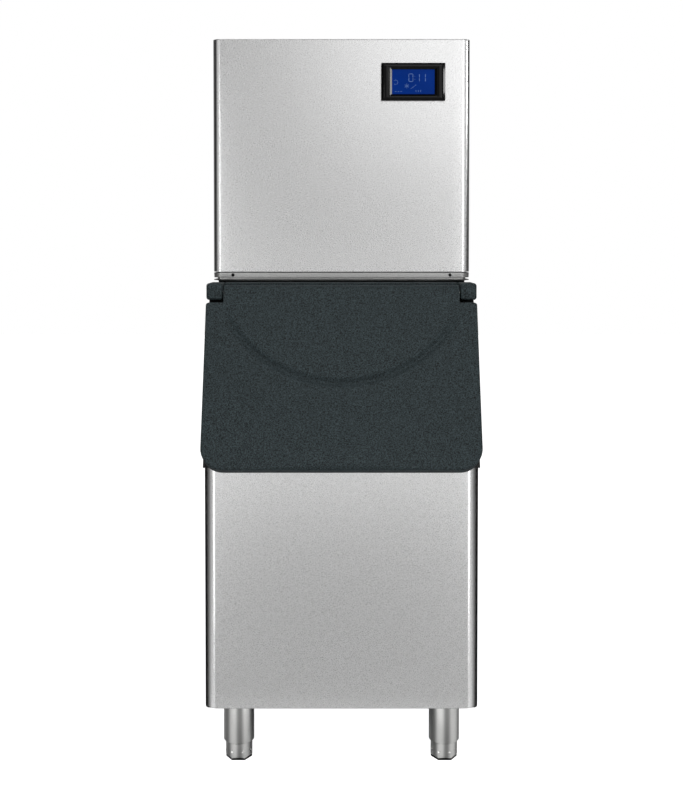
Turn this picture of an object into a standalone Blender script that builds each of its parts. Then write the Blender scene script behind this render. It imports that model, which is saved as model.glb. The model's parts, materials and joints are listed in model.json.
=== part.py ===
# A modular ice machine standing on its ice bin, in metres. +Z is up and the front faces -Y.
# The origin is on the floor, in the middle of the footprint.
import math

import bmesh
import bpy
from mathutils import Matrix, Vector

# Overall sizes
WIDTH = 0.560
BIN_DEPTH = 0.820
HEAD_SETBACK = 0.1925
LEG_HEIGHT = 0.130
BIN_HEIGHT = 0.869
SEAL_HEIGHT = 0.0067
HEAD_HEIGHT = 0.5237

# Sheet metal and the gap kept between pieces
SHEET = 0.0012
LINER_WALL = 0.003
GAP = 0.0003
BIN_CORNER = 0.022
HEAD_CORNER = 0.017

# Door and hinge. Offsets are measured behind the plane of the hinge pin, square to the tilted door.
DOOR_TILT = math.radians(22.5)
HINGE_DEPTH = 0.118
HINGE_DROP = 0.018
DOOR_OVERHANG = 0.006
DOOR_REACH = 0.0286
DOOR_THICKNESS = 0.034
DOOR_WALL = 0.004
DOOR_CORNER = 0.045
DOOR_RIM = 0.008
EAR_DROP = 0.0273
BLOCK_WIDTH = 0.0356
BLOCK_HEIGHT = 0.032
BLOCK_LEAD = 0.018
BLOCK_EDGE = 0.003
PIN_RADIUS = 0.004
PIN_IN_DOOR = 0.0259
PIN_IN_BLOCK = 0.0308
PIN_RUN = 0.0010
RAIL_RUN = 0.0015
GASKET = 0.0054
GASKET_WIDTH = 0.012
FRAME_THICKNESS = 0.010
FRAME_OVERHANG = 0.003
FRAME_SHORT = 0.002
THROAT_SIDE = 0.0565
THROAT_START = 0.022
COLLAR_WALL = 0.004
COLLAR_DEPTH = 0.027

# The curved crease in the door: a round bowl left proud of the lower face
BOWL_SIDE = 0.018
BOWL_RISE = 0.187
BOWL_HIGH = 0.052
BOWL_STEP = 0.003
GRIP_SIDE = 0.103
GRIP_HEIGHT = 0.009
GRIP_TILT = math.radians(40)

# Legs
LEG_SIDE = 0.063
LEG_INSET = 0.079
LEG_RADIUS = 0.032
LEG_WALL = 0.0035
LEG_OPEN = 0.036
LEG_CHAMFER = 0.003
LEG_PLUG = 0.014
FOOT_RADIUS = 0.028
FOOT_TOP = 0.085
FOOT_WALL = 0.0025
FOOT_EDGE = 0.0025
FOOT_ROOM = 0.003
STEM_RADIUS = 0.008
PAD_HEIGHT = 0.003
SPANNER_HOLE = 0.0025
SPANNER_HEIGHT = 0.019
SPANNER_DEPTH = 0.007
SPANNER_HOLES = 8
SPANNER_START = math.radians(19.2)

# Bin inside
FLOOR_SHEET = 0.002
FOAM_FRONT = 0.047
FOAM_REAR = 0.052
FOAM_SIDE = 0.049
FOAM_UNDER = 0.057
FOAM_OVER = 0.044
DROP_SIDE = 0.095
DROP_FRONT = 0.0200
DROP_DEPTH = 0.122
SPOUT_RADIUS = 0.013
SPOUT_BORE = 0.010
SPOUT_RISE = 0.020
SPOUT_REACH = 0.030

# Head base and panels
LIP_HEIGHT = 0.0032
GROOVE_HEIGHT = 0.003
GROOVE_DEPTH = 0.003
STRIP_HEIGHT = 0.0105
PANEL_SEAM = 0.002
BASE_WALL = 0.006
PANEL_RETURN = 0.040
LID_SHEET = 0.0015
LID_FLANGE = 0.012
SCREW_SIDE = 0.043
SCREW_RADIUS = 0.002
SCREW_HEAD = 0.0035
SCREW_RISE = 0.0018
SCREW_DEPTH = 0.004
LOUVRES = 8
LOUVRE_LENGTH = 0.110
LOUVRE_HEIGHT = 0.007
LOUVRE_PITCH = 0.022
LOUVRE_BACK = 0.030
LOUVRE_RISE = 0.020
GRILLE_SLOTS = 10
GRILLE_EDGE = 0.0096

# Display, its centre measured in from the right side of the head and down from its top
DISPLAY_SIDE = 0.1243
DISPLAY_DOWN = 0.0929
BEZEL_WIDTH = 0.1393
BEZEL_HEIGHT = 0.0818
BEZEL_DEPTH = 0.009
BEZEL_CHAMFER = 0.005
SCREEN_WIDTH = 0.0926
SCREEN_HEIGHT = 0.0535
SCREEN_EDGE = 0.0065
SCREEN_DEEP = 0.008
SKIRT_INSET = 0.0045
SKIRT_DEPTH = 0.012

# Wet side of the head
WALL_BACK = 0.2525
EVAPORATOR_SIDE = 0.0845
EVAPORATOR_SKY = 0.1047
EVAPORATOR_THICKNESS = 0.020
EVAPORATOR_RISE = 0.144
CELLS_WIDE = 11
CELLS_HIGH = 7
CELL_WALL = 0.004
CELL_DEPTH = 0.014
EAR_WALL = 0.003
EAR_RISE = 0.042
EAR_NOSE = 0.010
CURTAIN_GAP = 0.0130
CURTAIN_SHEET = 0.003
CURTAIN_RUN = 0.0015
CURTAIN_PIN = 0.0035
CURTAIN_RISE = 0.015
COIL_RADIUS = 0.005
COIL_ROWS = 6
COIL_SIDE = 0.0205
COIL_LEAD = 0.005
COIL_EDGE = 0.022
COIL_BEND = 0.012
COIL_TAIL = 0.015
BAR_RADIUS = 0.007
BAR_BORE = 0.005
BAR_OUT = 0.0075
JET_RADIUS = 0.0012
BAR_RISE = 0.027
TROUGH_SIDE = 0.014
TROUGH_DEPTH = 0.107
TROUGH_RISE = 0.068
TROUGH_HEIGHT = 0.050
TROUGH_WALL = 0.003
PUMP_SIDE = 0.038
PUMP_RADIUS = 0.022
PUMP_DISC = 0.0315
PUMP_HEIGHT = 0.145
PUMP_FOOT = 0.022
PUMP_EDGE = 0.006
SPIGOT_RISE = 0.045
SPIGOT_LIFT = 0.010
HOSE_BORE = 0.0035
HOSE_RADIUS = 0.006
HOSE_BEND = 0.010
FLOAT_SIDE = 0.096
FLOAT_LIFT = 0.008
FLOAT_STOP = 0.010
FLOAT_RADIUS = 0.012
FLOAT_HEIGHT = 0.020
FLOAT_STEM = 0.003
FLOAT_TRAVEL = 0.012

# Dry side of the head
COMPRESSOR_SIDE = 0.075
COMPRESSOR_RADIUS = 0.075
COMPRESSOR_HEIGHT = 0.190
CONDENSER_SIDE = 0.020
CONDENSER_BACK = 0.0035
CONDENSER_RISE = 0.050
CONDENSER_DEPTH = 0.045
CONDENSER_FINS = 20
FIN_SHEET = 0.0025
SHROUD_DEPTH = 0.0275
FAN_MARGIN = 0.026
FAN_HUB = 0.025
FAN_CLEARANCE = 0.006
FAN_AHEAD = 0.007
HUB_LENGTH = 0.022
BLADE_WIDTH = 0.042
BLADE_SHEET = 0.0022
BLADE_TWIST = math.radians(24)
FAN_BLADES = 5
SHAFT_RADIUS = 0.004
MOTOR_RADIUS = 0.040
MOTOR_LENGTH = 0.060
MOTOR_EDGE = 0.008
MOTOR_AHEAD = 0.025
SHAFT_REACH = 0.020
STAND_HALF = 0.020
STAND_SHEET = 0.008
STAND_FOOT = 0.030
FOOT_SHEET = 0.003
PIPE_RADIUS = 0.004
SUCTION_RADIUS = 0.006
PIPE_TURN = 0.010
PIPE_OFF = 0.030
DRIER_HALF = 0.060
DRIER_NECK = 0.006
DRIER_WIDER = 2.8
BOX_EDGE = 0.010
BOX_HEIGHT = 0.140
BOX_DOWN = 0.028
BOX_DEPTH = 0.093
VALVE_SIDE = 0.100
VALVE_HALF = 0.020
VALVE_DEPTH = 0.045
FILL_AHEAD = 0.080
FILL_SIDE = 0.030
FILL_OVER = 0.010
GLAND_STEP = 0.080
SERVICE_DOWN = 0.110
SPIGOT_RADIUS = 0.0125
SPIGOT_REACH = 0.025
GLAND_NECK = 0.0105
GLAND_NUT = 0.0155
GLAND_NOSE = 0.012
GLAND_BORE = 0.006
GLAND_REACH = 0.022
GLAND_SHOULDER = 0.008
GLAND_INSIDE = 0.010

# Places worked out from the sizes
HALF = WIDTH / 2
DOOR_WIDTH = WIDTH + 2 * DOOR_OVERHANG
DOOR_HALF = DOOR_WIDTH / 2
DOOR_LENGTH = (HINGE_DEPTH + DOOR_REACH) / math.sin(DOOR_TILT)
DOOR_NOSE = DOOR_LENGTH * math.sin(DOOR_TILT) + DOOR_THICKNESS / 2 * math.cos(DOOR_TILT) - HINGE_DEPTH
BIN_FRONT = -(BIN_DEPTH + SPOUT_REACH - DOOR_NOSE) / 2
BIN_REAR = BIN_FRONT + BIN_DEPTH
BIN_TOP = LEG_HEIGHT + BIN_HEIGHT
HEAD_FRONT = BIN_FRONT + HEAD_SETBACK
PIN_Y = BIN_FRONT + HINGE_DEPTH
PIN_Z = BIN_TOP - HINGE_DROP
BLOCK_BOTTOM = BIN_TOP - BLOCK_HEIGHT
FRAME_OFFSET = DOOR_THICKNESS / 2 + GASKET + 2 * GAP
SLOPE_OFFSET = FRAME_OFFSET + FRAME_THICKNESS + GAP
BLOCK_INSIDE = DOOR_HALF - BLOCK_WIDTH
THROAT_WIDTH = WIDTH - 2 * THROAT_SIDE
LINER_FRONT = FOAM_FRONT + LINER_WALL
THROAT_SPACE = (HINGE_DEPTH - LINER_FRONT + SLOPE_OFFSET * math.cos(DOOR_TILT)) / math.sin(DOOR_TILT)
THROAT_END = THROAT_SPACE - COLLAR_WALL - 2 * GAP
FRAME_FOOT = PIN_Z - (DOOR_LENGTH - FRAME_SHORT) * math.cos(DOOR_TILT)
BASE_BOTTOM = BIN_TOP + SEAL_HEIGHT + 2 * GAP
HEAD_TOP = BASE_BOTTOM + HEAD_HEIGHT
BASE_FLOOR = BASE_BOTTOM + LIP_HEIGHT
GROOVE_TOP = BASE_FLOOR + GROOVE_HEIGHT
BASE_TOP = GROOVE_TOP + STRIP_HEIGHT
PANEL_LOW = BASE_TOP + PANEL_SEAM
LID_LOW = HEAD_TOP - LID_SHEET
PANEL_HIGH = LID_LOW - GAP
INSIDE = HALF - SHEET - GAP
WALL_Y = HEAD_FRONT + WALL_BACK
WALL_REAR = WALL_Y + 1.25 * SHEET
DISPLAY_RIGHT = HALF - DISPLAY_SIDE
DISPLAY_Z = HEAD_TOP - DISPLAY_DOWN
SERVICE_Z = HEAD_TOP - SERVICE_DOWN
CONDENSER_X = HALF / 2
CONDENSER_SIZE = HALF - 2 * CONDENSER_SIDE
VALVE_X = VALVE_SIDE - HALF
GLAND_X = VALVE_X + GLAND_STEP

# The shop: collections, materials and the helpers that make the shapes
for leftover in list(bpy.data.objects):
    bpy.data.objects.remove(leftover)
parts = bpy.data.collections.new("ice_machine")
cutters = bpy.data.collections.new("cutters")
bpy.context.scene.collection.children.link(parts)
bpy.context.scene.collection.children.link(cutters)

# Frames that turn the Z axis of a flat or turned shape towards another axis
ALONG_X = Matrix(((0, 0, 1, 0), (1, 0, 0, 0), (0, 1, 0, 0), (0, 0, 0, 1)))
TO_FRONT = Matrix.Rotation(math.radians(90), 4, "X")
TO_REAR = Matrix.Rotation(math.radians(-90), 4, "X")
DOOR_FRAME = Matrix.Translation((0, PIN_Y, PIN_Z)) @ Matrix.Rotation(-DOOR_TILT, 4, "X")


def material(name, colour, roughness, metallic=0.0):
    """A plain surface of one colour."""
    made = bpy.data.materials.new(name)
    made.use_nodes = True
    shader = made.node_tree.nodes["Principled BSDF"]
    shader.inputs["Base Color"].default_value = (*colour, 1)
    shader.inputs["Roughness"].default_value = roughness
    shader.inputs["Metallic"].default_value = metallic
    return made


def place(name, mesh, look, frame=None):
    """Puts a mesh in the scene: as a part when it has a material, else as a cutter."""
    if frame is not None:
        mesh.transform(frame)
    thing = bpy.data.objects.new(name, mesh)
    if look:
        parts.objects.link(thing)
        mesh.materials.append(look)
    else:
        cutters.objects.link(thing)
        thing.hide_render = True
        thing.display_type = "WIRE"
    return thing


def smooth(mesh):
    """Shades the round faces smooth and keeps the edges sharp."""
    mesh.shade_smooth()
    mesh.set_sharp_from_angle(angle=math.radians(35))


def box(name, low, high, look=None, frame=None, flare=0.0, edge=0.0):
    """A box between two corners, its front wider all round by flare, its edges rounded by edge."""
    low, high = Vector(low), Vector(high)
    form = bmesh.new()
    size = Matrix.Diagonal((*(high - low), 1))
    bmesh.ops.create_cube(form, size=1, matrix=Matrix.Translation((low + high) / 2) @ size)
    for corner in form.verts:
        if corner.co.y < (low.y + high.y) / 2:
            corner.co.x += flare if corner.co.x > (low.x + high.x) / 2 else -flare
            corner.co.z += flare if corner.co.z > (low.z + high.z) / 2 else -flare
    if edge:
        bmesh.ops.bevel(form, geom=form.edges, offset=edge, segments=2, profile=0.5, affect="EDGES")
    mesh = bpy.data.meshes.new(name)
    form.to_mesh(mesh)
    form.free()
    return place(name, mesh, look, frame)


def rod(name, centre, radius, length, axis="Z", look=None, sides=24, frame=None):
    """A round bar about an axis, with its middle at centre."""
    turn = {"X": Matrix.Rotation(math.radians(90), 4, "Y"), "Y": TO_FRONT, "Z": Matrix.Identity(4)}[axis]
    form = bmesh.new()
    bmesh.ops.create_cone(
        form,
        cap_ends=True,
        segments=sides,
        radius1=radius,
        radius2=radius,
        depth=length,
        matrix=Matrix.Translation(centre) @ turn,
    )
    mesh = bpy.data.meshes.new(name)
    form.to_mesh(mesh)
    form.free()
    smooth(mesh)
    return place(name, mesh, look, frame)


def outline(corners, steps=5):
    """The points of a flat outline. Each corner is x, y and the radius it is rounded with."""
    points = []
    for index, (x, y, radius) in enumerate(corners):
        here = Vector((x, y))
        if radius <= 0:
            points.append(here)
            continue
        before = (Vector(corners[index - 1][:2]) - here).normalized()
        after = (Vector(corners[(index + 1) % len(corners)][:2]) - here).normalized()
        half_angle = before.angle(after) / 2
        middle = here + (before + after).normalized() * radius / math.sin(half_angle)
        start = here + before * radius / math.tan(half_angle) - middle
        sweep = start.angle_signed(here + after * radius / math.tan(half_angle) - middle)
        for step in range(steps + 1):
            angle = -sweep * step / steps
            points.append(middle + Matrix.Rotation(angle, 2) @ start)
    return points


def rectangle(x0, x1, y0, y1, radius=0.0, rear_radius=None):
    """The corners of an upright rectangle, front corners first."""
    rear = radius if rear_radius is None else rear_radius
    return [(x0, y0, radius), (x1, y0, radius), (x1, y1, rear), (x0, y1, rear)]


def plate(name, outlines, low, high, look=None, frame=None):
    """Flat outlines filled and made thick from low to high along Z. Inner outlines are holes."""
    drawing = bpy.data.curves.new(name, "CURVE")
    drawing.dimensions = "2D"
    drawing.fill_mode = "BOTH"
    drawing.extrude = (high - low) / 2
    for points in outlines:
        spline = drawing.splines.new("POLY")
        spline.points.add(len(points) - 1)
        for target, point in zip(spline.points, points):
            target.co = (point[0], point[1], 0, 1)
        spline.use_cyclic_u = True
    helper = bpy.data.objects.new(name, drawing)
    bpy.context.scene.collection.objects.link(helper)
    graph = bpy.context.evaluated_depsgraph_get()
    mesh = bpy.data.meshes.new_from_object(helper.evaluated_get(graph))
    bpy.data.objects.remove(helper)
    bpy.data.curves.remove(drawing)
    form = bmesh.new()
    form.from_mesh(mesh)
    bmesh.ops.remove_doubles(form, verts=form.verts, dist=1e-6)
    bmesh.ops.translate(form, verts=form.verts, vec=(0, 0, (low + high) / 2))
    bmesh.ops.recalc_face_normals(form, faces=form.faces)
    form.to_mesh(mesh)
    form.free()
    smooth(mesh)
    mesh.name = name
    return place(name, mesh, look, frame)


def turned(name, profile, centre, look=None, frame=None, sides=24, ring=False):
    """A profile of radius and height turned about Z. A ring's profile closes on itself."""
    mesh = bpy.data.meshes.new(name)
    count = len(profile)
    edges = [(i, i + 1) for i in range(count - 1)]
    if ring:
        edges.append((count - 1, 0))
    mesh.from_pydata([(radius, 0, height) for radius, height in profile], edges, [])
    thing = place(name, mesh, look)
    thing.matrix_world = Matrix.Translation(centre) @ (frame or Matrix.Identity(4))
    screw = thing.modifiers.new("turn", "SCREW")
    screw.steps = sides
    screw.render_steps = sides
    screw.use_merge_vertices = True
    screw.merge_threshold = 1e-5
    screw.use_smooth_shade = True
    return thing


def route(points, bend, steps=4):
    """Points of a pipe run with its corners bent round."""
    run = [Vector(points[0])]
    for before, here, after in zip(points, points[1:], points[2:]):
        corner = Vector(here)
        start = corner + (Vector(before) - corner).normalized() * bend
        end = corner + (Vector(after) - corner).normalized() * bend
        for step in range(steps + 1):
            share = step / steps
            run.append(start.lerp(corner, share).lerp(corner.lerp(end, share), share))
    run.append(Vector(points[-1]))
    return run


def pipe(name, points, radius, look, thick=()):
    """A round pipe along points. Points listed in thick carry a wider shell, given as a multiple."""
    line = bpy.data.curves.new(name, "CURVE")
    line.dimensions = "3D"
    line.bevel_depth = radius
    line.bevel_resolution = 2
    line.use_fill_caps = True
    spline = line.splines.new("POLY")
    spline.points.add(len(points) - 1)
    for index, point in enumerate(points):
        spline.points[index].co = (*point, 1)
        spline.points[index].radius = dict(thick).get(index, 1)
    line.materials.append(look)
    thing = bpy.data.objects.new(name, line)
    parts.objects.link(thing)
    return thing


def solid_pipe(name, points, radius, look=None):
    """A pipe made into a mesh, so that it can be joined to another piece."""
    thing = pipe(name, points, radius, brass)
    graph = bpy.context.evaluated_depsgraph_get()
    mesh = bpy.data.meshes.new_from_object(thing.evaluated_get(graph))
    line = thing.data
    bpy.data.objects.remove(thing)
    bpy.data.curves.remove(line)
    mesh.materials.clear()
    form = bmesh.new()
    form.from_mesh(mesh)
    bmesh.ops.remove_doubles(form, verts=form.verts, dist=1e-6)
    bmesh.ops.recalc_face_normals(form, faces=form.faces)
    form.to_mesh(mesh)
    form.free()
    return place(name, mesh, look)


def combine(thing, operation, others):
    """Adds one Boolean for each of the other shapes."""
    for other in others:
        step = thing.modifiers.new(other.name, "BOOLEAN")
        step.operation = operation
        step.solver = "EXACT"
        step.object = other
    return thing


def cut(thing, *others):
    return combine(thing, "DIFFERENCE", others)


def join(thing, *others):
    return combine(thing, "UNION", others)


def carry(name, location, tilt, things):
    """An empty on a joint's axis that carries the pieces which move about it."""
    empty = bpy.data.objects.new(name, None)
    parts.objects.link(empty)
    empty.matrix_world = Matrix.Translation(location) @ Matrix.Rotation(tilt, 4, "X")
    for thing in things:
        thing.parent = empty
        thing.matrix_parent_inverse = empty.matrix_world.inverted()


def slope_y(z, offset):
    """Where a plane parallel to the closed door, offset behind the hinge pin, is at height z."""
    return PIN_Y + ((z - PIN_Z) * math.sin(DOOR_TILT) + offset) / math.cos(DOOR_TILT)


steel = material("brushed stainless steel", (0.60, 0.60, 0.60), 0.30, 1.0)
plated = material("galvanised sheet", (0.45, 0.46, 0.47), 0.45, 1.0)
charcoal = material("charcoal polyethylene", (0.035, 0.045, 0.048), 0.55)
black = material("black plastic", (0.012, 0.012, 0.013), 0.40)
rubber = material("black rubber", (0.015, 0.015, 0.015), 0.80)
white = material("white liner plastic", (0.75, 0.77, 0.78), 0.35)
foam = material("yellow foam", (0.70, 0.58, 0.30), 0.90)
clear = material("clear curtain plastic", (0.70, 0.78, 0.82), 0.15)
copper = material("copper", (0.72, 0.36, 0.22), 0.30, 1.0)
nickel = material("nickel plate", (0.66, 0.63, 0.58), 0.25, 1.0)
enamel = material("black enamel", (0.02, 0.02, 0.02), 0.30)
brass = material("brass", (0.70, 0.55, 0.25), 0.35, 1.0)
screen = material("blue display", (0.004, 0.070, 0.330), 0.10)

# Shared cutters
FRAME_REACH = 0.05
front_cut = plate(
    "front_cut",
    [
        [
            (BIN_FRONT - FRAME_REACH, FRAME_FOOT - GAP),
            (slope_y(FRAME_FOOT - GAP, SLOPE_OFFSET), FRAME_FOOT - GAP),
            (slope_y(BLOCK_BOTTOM - GAP, SLOPE_OFFSET), BLOCK_BOTTOM - GAP),
            (HEAD_FRONT + SHEET + GAP, BLOCK_BOTTOM - GAP),
            (HEAD_FRONT + SHEET + GAP, BIN_TOP + FRAME_REACH),
            (BIN_FRONT - FRAME_REACH, BIN_TOP + FRAME_REACH),
        ]
    ],
    -WIDTH,
    WIDTH,
    frame=ALONG_X,
)
DROP_WIDTH = WIDTH - 2 * DROP_SIDE
DROP_Y = HEAD_FRONT + DROP_FRONT
LINER_TOP = BIN_TOP - FOAM_OVER
drop_cut = box(
    "drop_cut",
    (-DROP_WIDTH / 2, DROP_Y, LINER_TOP - 2 * LINER_WALL),
    (DROP_WIDTH / 2, DROP_Y + DROP_DEPTH, BASE_TOP),
)
chute_cut = box(
    "chute_cut",
    (-DROP_WIDTH / 2 - SHEET - GAP, DROP_Y - SHEET - GAP, LINER_TOP - GAP / 2),
    (DROP_WIDTH / 2 + SHEET + GAP, DROP_Y + DROP_DEPTH + SHEET + GAP, BIN_TOP + FRAME_REACH),
)
SPOUT_Z = LEG_HEIGHT + FOAM_UNDER + LINER_WALL + SPOUT_RISE
SPOUT_FRONT = BIN_REAR - FOAM_REAR - LINER_WALL - GAP
SPOUT_CUT_LENGTH = 2 * (BIN_REAR + SPOUT_REACH - SPOUT_FRONT)
spout_cut = rod("spout_cut", (0, BIN_REAR, SPOUT_Z), SPOUT_RADIUS + GAP, SPOUT_CUT_LENGTH, "Y")

# Bin shell: one sheet bent round the front and both sides
wrap = outline(
    [
        (-HALF, BIN_REAR, 0),
        (-HALF, BIN_FRONT, BIN_CORNER),
        (HALF, BIN_FRONT, BIN_CORNER),
        (HALF, BIN_REAR, 0),
        (HALF - SHEET, BIN_REAR, 0),
        (HALF - SHEET, BIN_FRONT + SHEET, BIN_CORNER - SHEET),
        (SHEET - HALF, BIN_FRONT + SHEET, BIN_CORNER - SHEET),
        (SHEET - HALF, BIN_REAR, 0),
    ],
    steps=7,
)
bin_shell = cut(plate("bin_shell", [wrap], LEG_HEIGHT, BIN_TOP, steel), front_cut)

# Bin floor, rear sheet and top deck
floor_outline = outline(
    rectangle(-INSIDE, INSIDE, BIN_FRONT + SHEET + GAP, BIN_REAR, BIN_CORNER - SHEET - GAP, 0), 7
)
FLOOR_TOP = LEG_HEIGHT + FLOOR_SHEET
plate("bin_floor", [floor_outline], LEG_HEIGHT, FLOOR_TOP, plated)
bin_rear = box(
    "bin_rear_panel",
    (-INSIDE, BIN_REAR - SHEET, FLOOR_TOP + GAP),
    (INSIDE, BIN_REAR, BIN_TOP - SHEET - GAP),
    plated,
)
cut(bin_rear, spout_cut)
DECK_FRONT = HEAD_FRONT + SHEET + 2 * GAP
deck = box(
    "bin_top_deck",
    (-INSIDE, DECK_FRONT, BIN_TOP - SHEET),
    (INSIDE, BIN_REAR, BIN_TOP),
    plated,
)
chute = box(
    "chute",
    (-DROP_WIDTH / 2 - SHEET, DROP_Y - SHEET, LINER_TOP + GAP),
    (DROP_WIDTH / 2 + SHEET, DROP_Y + DROP_DEPTH + SHEET, BIN_TOP - SHEET / 2),
)
cut(join(deck, chute), drop_cut)

# Liner: the moulded tank that holds the ice, open at the sloped mouth and under the chute
LINER_HALF = HALF - FOAM_SIDE
LINER_LOW = LEG_HEIGHT + FOAM_UNDER
liner_low = Vector((-LINER_HALF, BIN_FRONT + FOAM_FRONT, LINER_LOW))
liner_high = Vector((LINER_HALF, BIN_REAR - FOAM_REAR, LINER_TOP))
wall = Vector((LINER_WALL, LINER_WALL, LINER_WALL))
play = Vector((GAP, GAP, GAP))
liner = box("bin_liner", liner_low, liner_high, white)
cavity = box("liner_cavity", liner_low + wall, liner_high - wall)
cut(liner, cavity, front_cut, drop_cut, spout_cut)

# Foam between the liner and the sheets
foam_outline = outline(
    rectangle(
        -INSIDE,
        INSIDE,
        BIN_FRONT + SHEET + GAP,
        BIN_REAR - SHEET - GAP,
        BIN_CORNER - SHEET - GAP,
        0,
    ),
    7,
)
bin_foam = plate("bin_foam", [foam_outline], FLOOR_TOP + GAP, BIN_TOP - SHEET - GAP, foam)
liner_seat = box("liner_seat", liner_low - play, liner_high + play)
cut(bin_foam, front_cut, liner_seat, chute_cut, spout_cut)

# Drain spout at the rear
turned(
    "bin_drain_spout",
    [
        (SPOUT_RADIUS, SPOUT_REACH),
        (SPOUT_RADIUS, SPOUT_FRONT - BIN_REAR),
        (SPOUT_BORE, SPOUT_FRONT - BIN_REAR),
        (SPOUT_BORE, SPOUT_REACH),
    ],
    (0, BIN_REAR, SPOUT_Z),
    black,
    TO_REAR,
    ring=True,
)

# Throat frame: the black moulding that the closed door rests on
FRAME_HEAD = BLOCK_BOTTOM - GAP
frame_section = [
    (slope_y(FRAME_FOOT, FRAME_OFFSET), FRAME_FOOT),
    (slope_y(FRAME_FOOT, FRAME_OFFSET + FRAME_THICKNESS), FRAME_FOOT),
    (slope_y(FRAME_HEAD, FRAME_OFFSET + FRAME_THICKNESS), FRAME_HEAD),
    (slope_y(FRAME_HEAD, FRAME_OFFSET), FRAME_HEAD),
]
FRAME_HALF = HALF + FRAME_OVERHANG
throat_frame = plate("throat_frame", [frame_section], -FRAME_HALF, FRAME_HALF, black, ALONG_X)
COLLAR_BACK = FRAME_OFFSET + FRAME_THICKNESS + COLLAR_DEPTH
collar = box(
    "collar",
    (-THROAT_WIDTH / 2 - COLLAR_WALL, FRAME_OFFSET + FRAME_THICKNESS / 2, -THROAT_END - COLLAR_WALL),
    (THROAT_WIDTH / 2 + COLLAR_WALL, COLLAR_BACK, COLLAR_WALL - THROAT_START),
    frame=DOOR_FRAME,
)
throat_cut = box(
    "throat_cut",
    (-THROAT_WIDTH / 2, 0, -THROAT_END),
    (THROAT_WIDTH / 2, COLLAR_BACK + COLLAR_WALL, -THROAT_START),
    frame=DOOR_FRAME,
)
cut(join(throat_frame, collar), throat_cut)

# Door shell: a slab tilted like the closed door, its top edge round about the pin
EAR_HALF = BLOCK_INSIDE - PIN_RUN
DOOR_BACK = DOOR_THICKNESS / 2
door_shape = outline(
    [
        (-EAR_HALF, DOOR_BACK * 2, 0),
        (-EAR_HALF, -EAR_DROP, 0),
        (-DOOR_HALF, -EAR_DROP, DOOR_RIM),
        (-DOOR_HALF, -DOOR_LENGTH, DOOR_CORNER),
        (DOOR_HALF, -DOOR_LENGTH, DOOR_CORNER),
        (DOOR_HALF, -EAR_DROP, DOOR_RIM),
        (EAR_HALF, -EAR_DROP, 0),
        (EAR_HALF, DOOR_BACK * 2, 0),
    ],
    steps=8,
)
UPRIGHT = DOOR_FRAME @ TO_FRONT
door_shell = plate("door_shell", [door_shape], -DOOR_THICKNESS, DOOR_THICKNESS, charcoal, UPRIGHT)
section = outline(
    [
        (-DOOR_BACK, -DOOR_LENGTH * 1.1, 0),
        (DOOR_BACK, -DOOR_LENGTH * 1.1, 0),
        (DOOR_BACK, DOOR_BACK, DOOR_BACK - GAP / 10),
        (-DOOR_BACK, DOOR_BACK, DOOR_BACK - GAP / 10),
    ],
    steps=8,
)
slab = plate("door_slab", [section], -DOOR_WIDTH, DOOR_WIDTH, frame=DOOR_FRAME @ ALONG_X)

# The lower face falls away below the bowl, whose round edge makes the curved crease.
# The cut starts a little in front of the face, so that it meets it at a clean line.
BOWL_RADIUS = DOOR_HALF - BOWL_SIDE
BOWL_LOW = DOOR_LENGTH - BOWL_RISE
BOWL_CENTRE = BOWL_RADIUS - BOWL_LOW
BOWL_REACH = 2 * DOOR_THICKNESS
BOWL_START = BOWL_HIGH - (BOWL_LOW - BOWL_HIGH) / 8
lower_face = plate(
    "lower_face",
    [
        [
            (-DOOR_BACK - BOWL_STEP / 8, -BOWL_START),
            (-DOOR_BACK + BOWL_STEP, -BOWL_LOW - BOWL_STEP),
            (-DOOR_BACK + BOWL_STEP, -DOOR_LENGTH * 1.1),
            (-BOWL_REACH, -DOOR_LENGTH * 1.1),
            (-BOWL_REACH, -BOWL_START),
        ]
    ],
    -DOOR_WIDTH,
    DOOR_WIDTH,
    frame=DOOR_FRAME @ ALONG_X,
)
bowl = rod("bowl", (0, 0, BOWL_CENTRE), BOWL_RADIUS, 4 * BOWL_REACH, "Y", sides=96, frame=DOOR_FRAME)
cut(lower_face, bowl)

# The grip: a shallow curved chamfer along the lower front edge
GRIP_WIDTH = DOOR_WIDTH - 2 * GRIP_SIDE
GRIP_RADIUS = ((GRIP_WIDTH / 2) ** 2 + GRIP_HEIGHT**2) / (2 * GRIP_HEIGHT)
grip_angle = 1.1 * math.asin(GRIP_WIDTH / 2 / GRIP_RADIUS)
grip_shape = [
    (GRIP_RADIUS * math.sin(grip_angle * step / 8), GRIP_RADIUS * math.cos(grip_angle * step / 8))
    for step in range(-8, 9)
]
grip_floor = GRIP_RADIUS - 3 * GRIP_HEIGHT
grip_end = grip_shape[-1][0]
grip_shape += [(grip_end, grip_floor), (-grip_end, grip_floor)]
grip_frame = (
    DOOR_FRAME
    @ Matrix.Translation((0, BOWL_STEP - DOOR_BACK, -DOOR_LENGTH))
    @ Matrix.Rotation(GRIP_TILT, 4, "X")
    @ Matrix.Translation((0, 0, GRIP_HEIGHT - GRIP_RADIUS))
    @ TO_FRONT
)
grip_cut = plate("grip_cut", [grip_shape], 0, DOOR_THICKNESS, frame=grip_frame)

POCKET_TOP = EAR_DROP + DOOR_WALL
POCKET_FLOOR = BOWL_STEP + DOOR_WALL - DOOR_BACK
POCKET_HALF = DOOR_HALF - DOOR_WALL - DOOR_RIM / 2
POCKET_END = DOOR_LENGTH - DOOR_WALL - GRIP_HEIGHT
POCKET_CORNER = DOOR_CORNER - DOOR_WALL


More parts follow.
